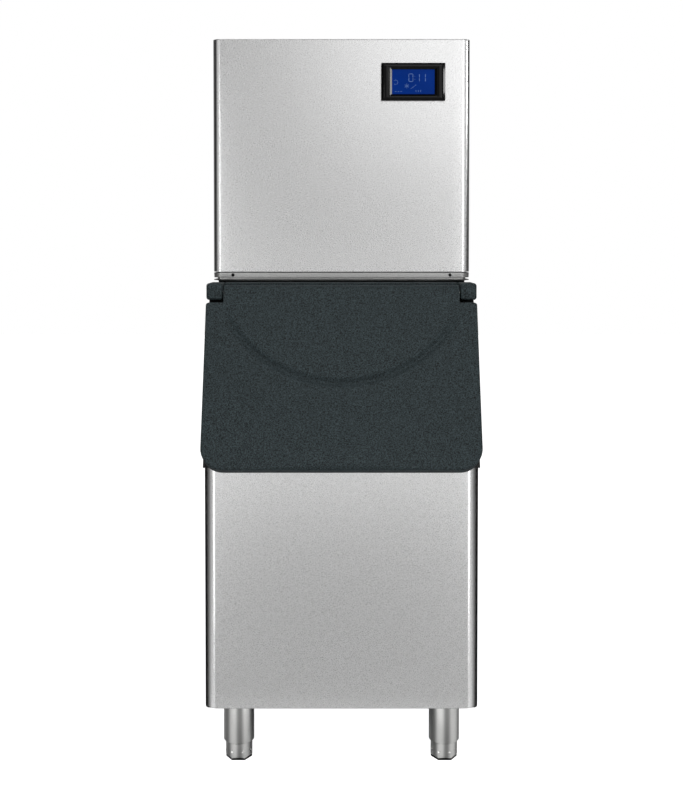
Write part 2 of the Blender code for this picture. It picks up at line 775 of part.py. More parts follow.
def pocket_shape(play):
    """The door's pocket seen from the front, smaller all round by play."""
    corner = POCKET_CORNER - play
    return outline(
        [
            (play - POCKET_HALF, -POCKET_TOP - play, 0),
            (play - POCKET_HALF, play - POCKET_END, corner),
            (POCKET_HALF - play, play - POCKET_END, corner),
            (POCKET_HALF - play, -POCKET_TOP - play, 0),
        ],
        steps=8,
    )


# UPRIGHT points its Z to the front, so heights in it are offsets with the sign turned
pocket = plate("pocket", [pocket_shape(0)], -DOOR_THICKNESS, -POCKET_FLOOR, frame=UPRIGHT)
PIN_LENGTH = PIN_IN_DOOR + PIN_IN_BLOCK
PIN_MIDDLE = BLOCK_INSIDE + (PIN_IN_BLOCK - PIN_IN_DOOR) / 2
BORE_LENGTH = PIN_LENGTH + 2 * GAP
pin_bores = [
    rod("pin_bore", (side * PIN_MIDDLE, PIN_Y, PIN_Z), PIN_RADIUS + GAP, BORE_LENGTH, "X", sides=16)
    for side in (-1, 1)
]
combine(door_shell, "INTERSECT", [slab])
cut(door_shell, lower_face, grip_cut, pocket, *pin_bores)
door_liner = plate("door_liner", [pocket_shape(GAP)], -DOOR_BACK, DOOR_WALL - DOOR_BACK, white, UPRIGHT)

# Gasket round the throat
ring_low = THROAT_START - 2 * COLLAR_WALL + GASKET_WIDTH / 4
gasket_rings = [
    outline(
        rectangle(
            -THROAT_WIDTH / 2 - COLLAR_WALL - reach,
            THROAT_WIDTH / 2 + COLLAR_WALL + reach,
            -THROAT_END - COLLAR_WALL - reach,
            -ring_low + reach - 2 * GAP,
            radius,
        )
    )
    for reach, radius in ((GASKET_WIDTH - 2 * GAP, 0.010), (0, 0.006))
]
GASKET_FRONT = DOOR_BACK + GAP
door_gasket = plate("door_gasket", gasket_rings, -GASKET_FRONT - GASKET, -GASKET_FRONT, rubber, UPRIGHT)
carry("door_hinge", (0, PIN_Y, PIN_Z), -DOOR_TILT, [door_shell, door_liner, door_gasket])

# Hinge blocks, pins and the rail between the blocks
BLOCK_REAR = HEAD_FRONT + SHEET
for side, word in ((-1, "left"), (1, "right")):
    ends = sorted((side * BLOCK_INSIDE, side * DOOR_HALF))
    block = box(
        f"hinge_block_{word}",
        (ends[0], PIN_Y - BLOCK_LEAD, BLOCK_BOTTOM),
        (ends[1], BLOCK_REAR, BIN_TOP),
        black,
        edge=BLOCK_EDGE,
    )
    cut(block, pin_bores[(side + 1) // 2])
    rod(f"hinge_pin_{word}", (side * PIN_MIDDLE, PIN_Y, PIN_Z), PIN_RADIUS, PIN_LENGTH, "X", steel, 16)
RAIL_HALF = BLOCK_INSIDE - GAP
box(
    "hinge_rail",
    (-RAIL_HALF, PIN_Y + DOOR_BACK + RAIL_RUN, BLOCK_BOTTOM),
    (RAIL_HALF, BLOCK_REAR, BIN_TOP),
    black,
)

# Legs, feet and pads
LEG_TOP = LEG_HEIGHT - GAP
LEG_SOCKET = FOOT_TOP + FOOT_ROOM
LEG_BORE = LEG_RADIUS - LEG_WALL
PLUG_TOP = LEG_OPEN - LEG_PLUG
STEM_TOP = LEG_TOP - 2 * FOOT_ROOM
leg_profile = [
    (LEG_RADIUS, LEG_TOP),
    (LEG_RADIUS, LEG_OPEN + LEG_CHAMFER),
    (LEG_RADIUS - LEG_CHAMFER, LEG_OPEN),
    (LEG_BORE, LEG_OPEN),
    (LEG_BORE, LEG_SOCKET),
    (STEM_RADIUS + 2 * GAP, LEG_SOCKET),
    (STEM_RADIUS + 2 * GAP, LEG_TOP),
]
foot_profile = [
    (0, STEM_TOP),
    (STEM_RADIUS, STEM_TOP),
    (STEM_RADIUS, PLUG_TOP),
    (FOOT_RADIUS - FOOT_WALL, PLUG_TOP),
    (FOOT_RADIUS - FOOT_WALL, FOOT_TOP),
    (FOOT_RADIUS, FOOT_TOP),
    (FOOT_RADIUS, PAD_HEIGHT + FOOT_EDGE),
    (FOOT_RADIUS - FOOT_EDGE, PAD_HEIGHT + GAP),
    (0, PAD_HEIGHT + GAP),
]
for side, hand in ((-1, "left"), (1, "right")):
    for end, word in ((BIN_FRONT + LEG_INSET, "front"), (BIN_REAR - LEG_INSET, "rear")):
        spot = Vector((side * (HALF - LEG_SIDE), end, 0))
        corner = f"{word}_{hand}"
        turned(f"leg_{corner}", leg_profile, spot, steel, ring=True, sides=20)
        foot = turned(f"foot_{corner}", foot_profile, spot, steel, sides=20)
        for hole in range(SPANNER_HOLES):
            turn = Matrix.Rotation(SPANNER_START + 2 * math.pi * hole / SPANNER_HOLES, 4, "Z")
            rim = Matrix.Translation(spot + Vector((0, 0, SPANNER_HEIGHT))) @ turn
            face = (0, -FOOT_RADIUS, 0)
            cut(foot, rod("spanner_hole", face, SPANNER_HOLE, SPANNER_DEPTH, "Y", sides=6, frame=rim))
        middle = spot + Vector((0, 0, PAD_HEIGHT / 2))
        pad = rod(f"pad_{corner}", middle, FOOT_RADIUS - FOOT_EDGE / 2, PAD_HEIGHT, look=rubber)
        carry(f"foot_slide_{corner}", spot, 0, [foot, pad])

# Seal between the bin and the head
SEAL_INSET = 0.010
SEAL_WIDTH = 0.008
seal_rings = [
    outline(rectangle(inset - HALF, HALF - inset, HEAD_FRONT + inset, BIN_REAR - inset, 0.006))
    for inset in (SEAL_INSET, SEAL_INSET + SEAL_WIDTH)
]
plate("head_seal", seal_rings, BIN_TOP + GAP, BIN_TOP + GAP + SEAL_HEIGHT, rubber)


def head_outline(inset):
    """The head seen from above, smaller all round by inset, its front corners rounded."""
    corner = max(HEAD_CORNER - inset, 0.001)
    return outline(rectangle(inset - HALF, HALF - inset, HEAD_FRONT + inset, BIN_REAR - inset, corner, 0))


# Head base: a pan with a thin lip, a dark groove and the strip that carries two screws
head_base = plate("head_base", [head_outline(0)], BASE_BOTTOM, BASE_TOP, steel)
pan = plate("pan", [head_outline(BASE_WALL)], BASE_FLOOR, BASE_TOP + FRAME_REACH)
groove = plate("groove", [head_outline(-GROOVE_DEPTH)], BASE_FLOOR, GROOVE_TOP)
cut(groove, plate("groove_core", [head_outline(GROOVE_DEPTH)], BASE_BOTTOM, BASE_TOP))
SCREW_X = HALF - SCREW_SIDE
screw_z = GROOVE_TOP + STRIP_HEIGHT / 2
screw_bores = [
    rod("screw_bore", (side * SCREW_X, HEAD_FRONT, screw_z), SCREW_RADIUS + GAP, 3 * SCREW_DEPTH, "Y", sides=12)
    for side in (-1, 1)
]
cut(head_base, drop_cut, pan, groove, *screw_bores)
for side, word in ((-1, "left"), (1, "right")):
    turned(
        f"base_screw_{word}",
        [
            (0, SCREW_RISE),
            (SCREW_HEAD * 0.6, SCREW_RISE * 0.9),
            (SCREW_HEAD, SCREW_RISE * 0.45),
            (SCREW_HEAD, GAP),
            (SCREW_RADIUS, GAP),
            (SCREW_RADIUS, -SCREW_DEPTH),
            (0, -SCREW_DEPTH),
        ],
        (side * SCREW_X, HEAD_FRONT, screw_z),
        steel,
        TO_FRONT,
        sides=16,
    )

# Head front panel: one sheet bent round both corners, with the cut-out for the display
SIDE_START = HEAD_FRONT + PANEL_RETURN
front_wrap = outline(
    [
        (-HALF, SIDE_START, 0),
        (-HALF, HEAD_FRONT, HEAD_CORNER),
        (HALF, HEAD_FRONT, HEAD_CORNER),
        (HALF, SIDE_START, 0),
        (HALF - SHEET, SIDE_START, 0),
        (HALF - SHEET, HEAD_FRONT + SHEET, HEAD_CORNER - SHEET),
        (SHEET - HALF, HEAD_FRONT + SHEET, HEAD_CORNER - SHEET),
        (SHEET - HALF, SIDE_START, 0),
    ],
    steps=7,
)
head_front = plate("head_front_panel", [front_wrap], PANEL_LOW, PANEL_HIGH, steel)
SKIRT_HALF = BEZEL_WIDTH / 2 - SKIRT_INSET
SKIRT_RISE = BEZEL_HEIGHT / 2 - SKIRT_INSET
display_cut = box(
    "display_cut",
    (DISPLAY_RIGHT - SKIRT_HALF - GAP, HEAD_FRONT - SHEET, DISPLAY_Z - SKIRT_RISE - GAP),
    (DISPLAY_RIGHT + SKIRT_HALF + GAP, HEAD_FRONT + 3 * SHEET, DISPLAY_Z + SKIRT_RISE + GAP),
)
cut(head_front, display_cut)

# Head side panels with louvres beside the condenser fan
LOUVRE_Y = BIN_REAR - CONDENSER_DEPTH - LOUVRE_LENGTH - LOUVRE_BACK
LOUVRE_Z = BASE_FLOOR + CONDENSER_RISE + LOUVRE_RISE
louvre_cuts = [
    box(
        "louvre",
        (-WIDTH, LOUVRE_Y, LOUVRE_Z + LOUVRE_PITCH * row),
        (WIDTH, LOUVRE_Y + LOUVRE_LENGTH, LOUVRE_Z + LOUVRE_PITCH * row + LOUVRE_HEIGHT),
    )
    for row in range(LOUVRES)
]
for side, word in ((-1, "left"), (1, "right")):
    ends = sorted((side * HALF, side * (HALF - SHEET)))
    panel = box(
        f"head_{word}_panel",
        (ends[0], SIDE_START + 2 * GAP, PANEL_LOW),
        (ends[1], BIN_REAR - SHEET - GAP, PANEL_HIGH),
        steel,
    )
    cut(panel, *louvre_cuts)

# Head rear panel: grille over the condenser, holes for the water spigot and the cord gland
CONDENSER_LOW = BASE_FLOOR + CONDENSER_RISE
head_rear = box("head_rear_panel", (-HALF, BIN_REAR - SHEET, PANEL_LOW), (HALF, BIN_REAR, PANEL_HIGH), plated)
GRILLE_PITCH = CONDENSER_SIZE / GRILLE_SLOTS
GRILLE_HALF = CONDENSER_SIZE / 2 - GRILLE_EDGE
PANEL_BORE = 20 * SHEET
grille_cuts = [
    box(
        "grille",
        (CONDENSER_X - GRILLE_HALF, BIN_REAR - 2 * SHEET, CONDENSER_LOW + GRILLE_PITCH * (row + 0.25)),
        (CONDENSER_X + GRILLE_HALF, BIN_REAR + SHEET, CONDENSER_LOW + GRILLE_PITCH * (row + 0.75)),
    )
    for row in range(GRILLE_SLOTS)
]
spigot_cut = rod("spigot_cut", (VALVE_X, BIN_REAR, SERVICE_Z), SPIGOT_RADIUS + GAP, PANEL_BORE, "Y", sides=20)
gland_cut = rod("gland_cut", (GLAND_X, BIN_REAR, SERVICE_Z), GLAND_NECK + GAP, PANEL_BORE, "Y", sides=20)
cut(head_rear, *grille_cuts, spigot_cut, gland_cut)

# Lid: a sheet with a folded flange that sits inside the panels
lid = plate("head_lid", [head_outline(0)], LID_LOW, HEAD_TOP, steel)
flange = plate(
    "lid_flange",
    [head_outline(SHEET + GAP), head_outline(2 * SHEET + GAP)],
    LID_LOW - LID_FLANGE,
    HEAD_TOP - LID_SHEET / 2,
)
join(lid, flange)

# Display: a black bezel with an outer and an inner chamfer, and the screen clipped in behind it
BEZEL_BACK = HEAD_FRONT - GAP
SCREEN_FRONT = BEZEL_BACK - BEZEL_DEPTH * 0.4
bezel = box(
    "display_bezel",
    (DISPLAY_RIGHT - BEZEL_WIDTH / 2, HEAD_FRONT - BEZEL_DEPTH, DISPLAY_Z - BEZEL_HEIGHT / 2),
    (DISPLAY_RIGHT + BEZEL_WIDTH / 2, BEZEL_BACK, DISPLAY_Z + BEZEL_HEIGHT / 2),
    black,
    flare=-BEZEL_CHAMFER,
)
skirt = box(
    "skirt",
    (DISPLAY_RIGHT - SKIRT_HALF, BEZEL_BACK - SHEET, DISPLAY_Z - SKIRT_RISE),
    (DISPLAY_RIGHT + SKIRT_HALF, HEAD_FRONT + SKIRT_DEPTH, DISPLAY_Z + SKIRT_RISE),
)
window = box(
    "window",
    (DISPLAY_RIGHT - SCREEN_WIDTH / 2, HEAD_FRONT - BEZEL_DEPTH - GAP, DISPLAY_Z - SCREEN_HEIGHT / 2),
    (DISPLAY_RIGHT + SCREEN_WIDTH / 2, HEAD_FRONT, DISPLAY_Z + SCREEN_HEIGHT / 2),
    flare=BEZEL_CHAMFER,
)
SEAT_HALF = SCREEN_WIDTH / 2 + SCREEN_EDGE
SEAT_RISE = SCREEN_HEIGHT / 2 + SCREEN_EDGE
screen_seat = box(
    "screen_seat",
    (DISPLAY_RIGHT - SEAT_HALF - GAP, SCREEN_FRONT - GAP, DISPLAY_Z - SEAT_RISE - GAP),
    (DISPLAY_RIGHT + SEAT_HALF + GAP, HEAD_FRONT + SKIRT_DEPTH + SHEET, DISPLAY_Z + SEAT_RISE + GAP),
)
cut(join(bezel, skirt), window, screen_seat)
box(
    "display_glass",
    (DISPLAY_RIGHT - SEAT_HALF, SCREEN_FRONT, DISPLAY_Z - SEAT_RISE),
    (DISPLAY_RIGHT + SEAT_HALF, SCREEN_FRONT + SCREEN_DEEP, DISPLAY_Z + SEAT_RISE),
    screen,
)

# Wall between the wet side and the dry side, with holes for the pipes
EVAPORATOR_WIDTH = WIDTH - 2 * EVAPORATOR_SIDE
EVAPORATOR_HEIGHT = HEAD_HEIGHT - EVAPORATOR_RISE - EVAPORATOR_SKY
EVAPORATOR_LOW = BASE_FLOOR + EVAPORATOR_RISE
EVAPORATOR_HIGH = EVAPORATOR_LOW + EVAPORATOR_HEIGHT
EAR_INSIDE = EVAPORATOR_WIDTH / 2
EVAPORATOR_REAR = WALL_Y - 8 * COIL_RADIUS
EVAPORATOR_FRONT = EVAPORATOR_REAR - EVAPORATOR_THICKNESS
COIL_Y = EVAPORATOR_REAR + COIL_RADIUS + GAP
COIL_X = COIL_SIDE - EVAPORATOR_WIDTH / 2 - COIL_LEAD
COIL_LOW = EVAPORATOR_LOW + COIL_EDGE
COIL_PITCH = (EVAPORATOR_HEIGHT - 2 * COIL_EDGE) / (COIL_ROWS - 1)
COIL_HIGH = COIL_LOW + COIL_PITCH * (COIL_ROWS - 1)
COIL_END = WALL_REAR + COIL_TAIL
TROUGH_HALF = HALF - TROUGH_SIDE
FILL_X = FILL_SIDE - TROUGH_HALF
WALL_HALF = HALF - BASE_WALL - GAP
dividing_wall = box(
    "compartment_wall",
    (-WALL_HALF, WALL_Y, BASE_FLOOR + GAP),
    (WALL_HALF, WALL_REAR, PANEL_HIGH),
    plated,
)
wall_holes = [
    rod("wall_hole", (x, WALL_Y, z), radius, PANEL_BORE, "Y", sides=16)
    for x, z, radius in (
        (COIL_X, COIL_LOW, COIL_RADIUS + 2 * GAP),
        (COIL_X, COIL_HIGH, COIL_RADIUS + 2 * GAP),
        (FILL_X, SERVICE_Z, PIPE_RADIUS + 2 * GAP),
    )
]
cut(dividing_wall, *wall_holes)

# Evaporator: a grid of ice cells between two ears that also hold the curtain and the spray bar
evaporator = box(
    "evaporator_plate",
    (-EAR_INSIDE - EAR_WALL / 2, EVAPORATOR_FRONT, EVAPORATOR_LOW),
    (EAR_INSIDE + EAR_WALL / 2, EVAPORATOR_REAR, EVAPORATOR_HIGH),
    nickel,
)
cells = bmesh.new()
cell_width = EVAPORATOR_WIDTH / CELLS_WIDE
cell_height = EVAPORATOR_HEIGHT / CELLS_HIGH
cell_size = Matrix.Diagonal((cell_width - CELL_WALL, 2 * CELL_DEPTH, cell_height - CELL_WALL, 1))
for column in range(CELLS_WIDE):
    for row in range(CELLS_HIGH):
        x = (column + 0.5) * cell_width - EVAPORATOR_WIDTH / 2
        z = EVAPORATOR_LOW + (row + 0.5) * cell_height
        bmesh.ops.create_cube(cells, size=1, matrix=Matrix.Translation((x, EVAPORATOR_FRONT, z)) @ cell_size)
cell_mesh = bpy.data.meshes.new("cells")
cells.to_mesh(cell_mesh)
cells.free()
cell_cut = place("cells", cell_mesh, None)
CURTAIN_Y = EVAPORATOR_FRONT - CURTAIN_GAP
CURTAIN_Z = EVAPORATOR_HIGH + CURTAIN_RISE
BAR_Y = EVAPORATOR_FRONT + EVAPORATOR_THICKNESS / 2
BAR_Z = EVAPORATOR_HIGH + BAR_RISE
EAR_TOP = EVAPORATOR_HIGH + EAR_RISE
ear_shape = outline(
    [
        (EVAPORATOR_FRONT, EVAPORATOR_LOW, 0),
        (WALL_Y - GAP, EVAPORATOR_LOW, 0),
        (WALL_Y - GAP, EAR_TOP, 0),
        (CURTAIN_Y - EAR_NOSE, EAR_TOP, EAR_NOSE * 0.8),
        (CURTAIN_Y - EAR_NOSE, CURTAIN_Z - EAR_NOSE, EAR_NOSE * 0.4),
        (EVAPORATOR_FRONT, CURTAIN_Z - EAR_NOSE * 1.8, 0),
    ]
)
ears = [
    plate("ear", [ear_shape], start, start + EAR_WALL, frame=ALONG_X)
    for start in (-EAR_INSIDE - EAR_WALL, EAR_INSIDE)
]
ear_bores = [
    rod("ear_bore", (0, CURTAIN_Y, CURTAIN_Z), CURTAIN_PIN + 2 * GAP, WIDTH, "X", sides=16),
    rod("bar_bore", (0, BAR_Y, BAR_Z), BAR_RADIUS + GAP, WIDTH, "X", sides=20),
]
cut(join(evaporator, *ears), cell_cut, *ear_bores)

# Evaporator coil: one copper tube folded back and forth behind the plate
coil_points = [(COIL_X, COIL_END, COIL_LOW)]
for row in range(COIL_ROWS):
    z = COIL_LOW + COIL_PITCH * row
    ends = (COIL_X, -COIL_X) if row % 2 == 0 else (-COIL_X, COIL_X)
    coil_points += [(end, COIL_Y, z) for end in ends]
coil_points.append((COIL_X, COIL_END, COIL_HIGH))
pipe("evaporator_coil", route(coil_points, COIL_BEND), COIL_RADIUS, copper)

# Curtain: a clear sheet hung on its top pin in front of the evaporator
curtain = rod("ice_curtain", (0, CURTAIN_Y, CURTAIN_Z), CURTAIN_PIN, 2 * EAR_INSIDE + EAR_WALL, "X", clear, 16)
CURTAIN_HALF = EAR_INSIDE - CURTAIN_RUN
curtain_sheet = box(
    "curtain_sheet",
    (-CURTAIN_HALF, CURTAIN_Y - CURTAIN_SHEET / 2, EVAPORATOR_LOW),
    (CURTAIN_HALF, CURTAIN_Y + CURTAIN_SHEET / 2, CURTAIN_Z),
)
join(curtain, curtain_sheet)
carry("curtain_hinge", (0, CURTAIN_Y, CURTAIN_Z), 0, [curtain])

# Spray bar: a tube with a row of holes over the evaporator
BAR_LENGTH = EVAPORATOR_WIDTH + 2 * BAR_OUT
spray_bar = turned(
    "spray_bar",
    [
        (BAR_RADIUS, BAR_LENGTH / 2),
        (BAR_RADIUS, -BAR_LENGTH / 2),
        (BAR_BORE, -BAR_LENGTH / 2),
        (BAR_BORE, BAR_LENGTH / 2),
    ],
    (0, BAR_Y, BAR_Z),
    white,
    Matrix.Rotation(math.radians(90), 4, "Y"),
    ring=True,
    sides=20,
)
for hole in range(CELLS_WIDE - 1):
    x = (hole + 1) * cell_width - EVAPORATOR_WIDTH / 2
    cut(spray_bar, rod("jet", (x, BAR_Y, BAR_Z - BAR_RADIUS), JET_RADIUS, 2 * BAR_BORE, sides=6))

# Water trough under the evaporator
TROUGH_LOW = BASE_FLOOR + TROUGH_RISE
TROUGH_REAR = WALL_Y - GAP
TROUGH_FRONT = TROUGH_REAR - TROUGH_DEPTH
TROUGH_FLOOR = TROUGH_LOW + TROUGH_WALL
trough = box(
    "water_trough",
    (-TROUGH_HALF, TROUGH_FRONT, TROUGH_LOW),
    (TROUGH_HALF, TROUGH_REAR, TROUGH_LOW + TROUGH_HEIGHT),
    white,
)
basin = box(
    "basin",
    (TROUGH_WALL - TROUGH_HALF, TROUGH_FRONT + TROUGH_WALL, TROUGH_FLOOR),
    (TROUGH_HALF - TROUGH_WALL, TROUGH_REAR - TROUGH_WALL, TROUGH_LOW + 2 * TROUGH_HEIGHT),
)
cut(trough, basin)

# Pump standing in the trough, with the spigot that its hose is pushed against
PUMP_X = TROUGH_HALF - PUMP_SIDE
PUMP_Y = TROUGH_FRONT + TROUGH_DEPTH / 2
PUMP_LOW = TROUGH_FLOOR + GAP
SPIGOT_OFF = PUMP_RADIUS + HOSE_RADIUS
SPIGOT_TOP = PUMP_LOW + SPIGOT_RISE
pump = turned(
    "water_pump",
    [
        (0, PUMP_HEIGHT),
        (PUMP_RADIUS * 0.8, PUMP_HEIGHT),
        (PUMP_RADIUS, PUMP_HEIGHT - PUMP_EDGE),
        (PUMP_RADIUS, PUMP_HEIGHT * 0.45),
        (PUMP_RADIUS * 0.5, PUMP_HEIGHT * 0.42),
        (PUMP_RADIUS * 0.5, PUMP_FOOT),
        (PUMP_DISC, PUMP_FOOT),
        (PUMP_DISC, 0),
        (0, 0),
    ],
    (PUMP_X, PUMP_Y, PUMP_LOW),
    black,
)
SPIGOT_BASE = PUMP_LOW + SPIGOT_LIFT
spigot = rod(
    "spigot",
    (PUMP_X, PUMP_Y - SPIGOT_OFF, (SPIGOT_BASE + SPIGOT_TOP) / 2),
    HOSE_BORE,
    SPIGOT_TOP - SPIGOT_BASE,
    sides=12,
)
join(pump, spigot)
HOSE_Y = PUMP_Y - SPIGOT_OFF
hose_points = [
    (PUMP_X, HOSE_Y, SPIGOT_TOP + GAP),
    (PUMP_X, HOSE_Y, BAR_Z),
    (PUMP_X, BAR_Y, BAR_Z),
    (BAR_LENGTH / 2 + GAP, BAR_Y, BAR_Z),
]
pipe("pump_hose", route(hose_points, HOSE_BEND), HOSE_RADIUS, rubber)

# Float switch: a stem standing in the trough and the float that slides on it
FLOAT_X = FLOAT_SIDE - TROUGH_HALF
FLOAT_LOW = TROUGH_FLOOR + FLOAT_LIFT
STEM_HIGH = FLOAT_LOW + FLOAT_HEIGHT + FLOAT_TRAVEL + FLOAT_STOP
turned(
    "float_stem",
    [
        (0, STEM_HIGH),
        (FLOAT_STEM, STEM_HIGH),
        (FLOAT_STEM, FLOAT_LOW - GAP),
        (FLOAT_STEM * 2, FLOAT_LOW - GAP),
        (FLOAT_STEM * 2, TROUGH_FLOOR + GAP),
        (0, TROUGH_FLOOR + GAP),
    ],
    (FLOAT_X, PUMP_Y, 0),
    white,
    sides=16,
)
float_body = turned(
    "float",
    [
        (FLOAT_RADIUS, FLOAT_HEIGHT),
        (FLOAT_RADIUS, 0),
        (FLOAT_STEM + 2 * GAP, 0),
        (FLOAT_STEM + 2 * GAP, FLOAT_HEIGHT),
    ],
    (FLOAT_X, PUMP_Y, FLOAT_LOW),
    white,
    ring=True,
    sides=20,
)
carry("float_slide", (FLOAT_X, PUMP_Y, FLOAT_LOW), 0, [float_body])

# Compressor: a welded pot on its foot plate
COMPRESSOR_X = COMPRESSOR_SIDE + COMPRESSOR_RADIUS - HALF
COMPRESSOR_Y = (WALL_Y + BIN_REAR) / 2
COMPRESSOR_LOW = BASE_FLOOR + GAP
pot = COMPRESSOR_RADIUS
compressor = turned(
    "compressor",
    [
        (0, COMPRESSOR_HEIGHT),
        (pot * 0.60, COMPRESSOR_HEIGHT * 0.98),
        (pot * 0.88, COMPRESSOR_HEIGHT * 0.89),
        (pot, COMPRESSOR_HEIGHT * 0.75),
        (pot, COMPRESSOR_HEIGHT * 0.22),
        (pot * 0.88, COMPRESSOR_HEIGHT * 0.11),
        (pot * 0.60, COMPRESSOR_HEIGHT * 0.04),
        (pot * 0.60, SHEET),
        (0, SHEET),
    ],
    (COMPRESSOR_X, COMPRESSOR_Y, COMPRESSOR_LOW),
    enamel,
    sides=28,
)
foot_plate = box(
    "foot_plate",
    (COMPRESSOR_X - pot * 1.1, COMPRESSOR_Y - pot * 0.95, COMPRESSOR_LOW),
    (COMPRESSOR_X + pot * 1.1, COMPRESSOR_Y + pot * 0.95, COMPRESSOR_LOW + 3 * SHEET),
)
join(compressor, foot_plate)

# Condenser: a block of fins on a middle web, the tubes hidden in it
CONDENSER_REAR = BIN_REAR - SHEET - CONDENSER_BACK
CONDENSER_FRONT = CONDENSER_REAR - CONDENSER_DEPTH
WEB_FRONT = CONDENSER_FRONT + CONDENSER_DEPTH * 0.4
WEB_REAR = CONDENSER_FRONT + CONDENSER_DEPTH * 0.6
CONDENSER_HALF = CONDENSER_SIZE / 2
fin_pitch = (CONDENSER_SIZE - FIN_SHEET) / (CONDENSER_FINS - 1)


def fin_edge(outer, web):
    """One face of the condenser from left to right: out along each fin and back to the web."""
    points = []
    for fin in range(CONDENSER_FINS):
        left = CONDENSER_X - CONDENSER_HALF + fin * fin_pitch
        if fin > 0:
            points.append((left, web))
        points += [(left, outer), (left + FIN_SHEET, outer)]
        if fin < CONDENSER_FINS - 1:
            points.append((left + FIN_SHEET, web))
    return points


fin_shape = fin_edge(CONDENSER_FRONT, WEB_FRONT) + fin_edge(CONDENSER_REAR, WEB_REAR)[::-1]
CONDENSER_HIGH = CONDENSER_LOW + CONDENSER_SIZE
plate("condenser_coil", [fin_shape], CONDENSER_LOW, CONDENSER_HIGH, plated)

# Fan shroud: a shallow tray against the condenser with a round mouth for the fan
SHROUD_REAR = CONDENSER_FRONT - GAP
SHROUD_FRONT = SHROUD_REAR - SHROUD_DEPTH
FAN_Z = CONDENSER_LOW + CONDENSER_HALF
shroud_low = Vector((CONDENSER_X - CONDENSER_HALF, SHROUD_FRONT, CONDENSER_LOW))
shroud_high = Vector((CONDENSER_X + CONDENSER_HALF, SHROUD_REAR, CONDENSER_HIGH))
shroud = box("fan_shroud", shroud_low, shroud_high, black)
inset = Vector((2 * SHEET, 2 * SHEET, 2 * SHEET))
tray = box("shroud_tray", shroud_low + inset, shroud_high + Vector((-inset.x, SHEET, -inset.z)))
FAN_RADIUS = CONDENSER_HALF - FAN_MARGIN
MOUTH = FAN_RADIUS + FAN_CLEARANCE
mouth_cut = rod("mouth", (CONDENSER_X, SHROUD_FRONT, FAN_Z), MOUTH, PANEL_BORE, "Y", sides=40)
cut(shroud, tray, mouth_cut)

# Fan motor on a stand, its shaft pointing to the rear
MOTOR_REAR = SHROUD_FRONT - MOTOR_AHEAD
SHAFT_END = SHROUD_FRONT + SHAFT_REACH
fan_motor = turned(
    "fan_motor",
    [
        (0, SHAFT_END - MOTOR_REAR),
        (SHAFT_RADIUS, SHAFT_END - MOTOR_REAR),
        (SHAFT_RADIUS, MOTOR_EDGE / 2),
        (MOTOR_RADIUS * 0.4, 0),
        (MOTOR_RADIUS * 0.85, 0),
        (MOTOR_RADIUS, -MOTOR_EDGE),
        (MOTOR_RADIUS, MOTOR_EDGE - MOTOR_LENGTH),
        (MOTOR_RADIUS * 0.85, -MOTOR_LENGTH),
        (0, -MOTOR_LENGTH),
    ],
    (CONDENSER_X, MOTOR_REAR, FAN_Z),
    black,
    TO_REAR,
)
STAND_Y = MOTOR_REAR - MOTOR_LENGTH / 2
stand = box(
    "motor_stand",
    (CONDENSER_X - STAND_HALF, STAND_Y - STAND_SHEET / 2, BASE_FLOOR + GAP),
    (CONDENSER_X + STAND_HALF, STAND_Y + STAND_SHEET / 2, FAN_Z - MOTOR_RADIUS * 0.9),
)
stand_foot = box(
    "stand_foot",
    (CONDENSER_X - 2 * STAND_HALF, STAND_Y - STAND_FOOT, BASE_FLOOR + GAP),
    (CONDENSER_X + 2 * STAND_HALF, STAND_Y + STAND_FOOT, BASE_FLOOR + GAP + FOOT_SHEET),
)
join(fan_motor, stand, stand_foot)

# Fan: a hub on the shaft with five twisted blades
HUB_MIDDLE = SHROUD_FRONT + FAN_AHEAD
fan_centre = Vector((CONDENSER_X, HUB_MIDDLE, FAN_Z))
fan = rod("fan_rotor", fan_centre, FAN_HUB, HUB_LENGTH, "Y", plated)
for blade in range(FAN_BLADES):
    around = Matrix.Rotation(2 * math.pi * blade / FAN_BLADES, 4, "Y")
    frame = Matrix.Translation(fan_centre) @ around @ Matrix.Rotation(BLADE_TWIST, 4, "Z")
    blade_root = (-BLADE_WIDTH / 2, -BLADE_SHEET / 2, FAN_HUB * 0.7)
    blade_tip = (BLADE_WIDTH / 2, BLADE_SHEET / 2, FAN_RADIUS - FAN_CLEARANCE / 2)
    join(fan, box("blade", blade_root, blade_tip, frame=frame))
cut(fan, rod("fan_bore", fan_centre, SHAFT_RADIUS + GAP, 2 * HUB_LENGTH, "Y", sides=16))
carry("fan_axle", fan_centre, 0, [fan])

# Pipes between the compressor, the condenser and the coil
PIPE_Y = COIL_END + GAP
port_z = COMPRESSOR_LOW + COMPRESSOR_HEIGHT * 0.58
suction_y = (PIPE_Y + COMPRESSOR_Y - COMPRESSOR_RADIUS) / 2
suction = [
    (COIL_X, PIPE_Y, COIL_HIGH),
    (COIL_X, suction_y, COIL_HIGH),
    (COIL_X, suction_y, port_z),
    (COMPRESSOR_X, suction_y, port_z),
    (COMPRESSOR_X, COMPRESSOR_Y - COMPRESSOR_RADIUS - GAP, port_z),
]
pipe("suction_pipe", route(suction, PIPE_TURN), SUCTION_RADIUS, copper)
condenser_left = CONDENSER_X - CONDENSER_HALF - GAP
web_y = (WEB_FRONT + WEB_REAR) / 2
hot_x = (COMPRESSOR_X + COMPRESSOR_RADIUS + condenser_left) / 2
hot_z = CONDENSER_HIGH - PIPE_OFF
discharge = [
    (COMPRESSOR_X + COMPRESSOR_RADIUS + GAP, COMPRESSOR_Y, port_z),
    (hot_x, COMPRESSOR_Y, port_z),
    (hot_x, COMPRESSOR_Y, hot_z),
    (hot_x, web_y, hot_z),
    (condenser_left, web_y, hot_z),
]
pipe("discharge_pipe", route(discharge, PIPE_TURN), PIPE_RADIUS, copper)
liquid_y = PIPE_Y + 2 * PIPE_TURN
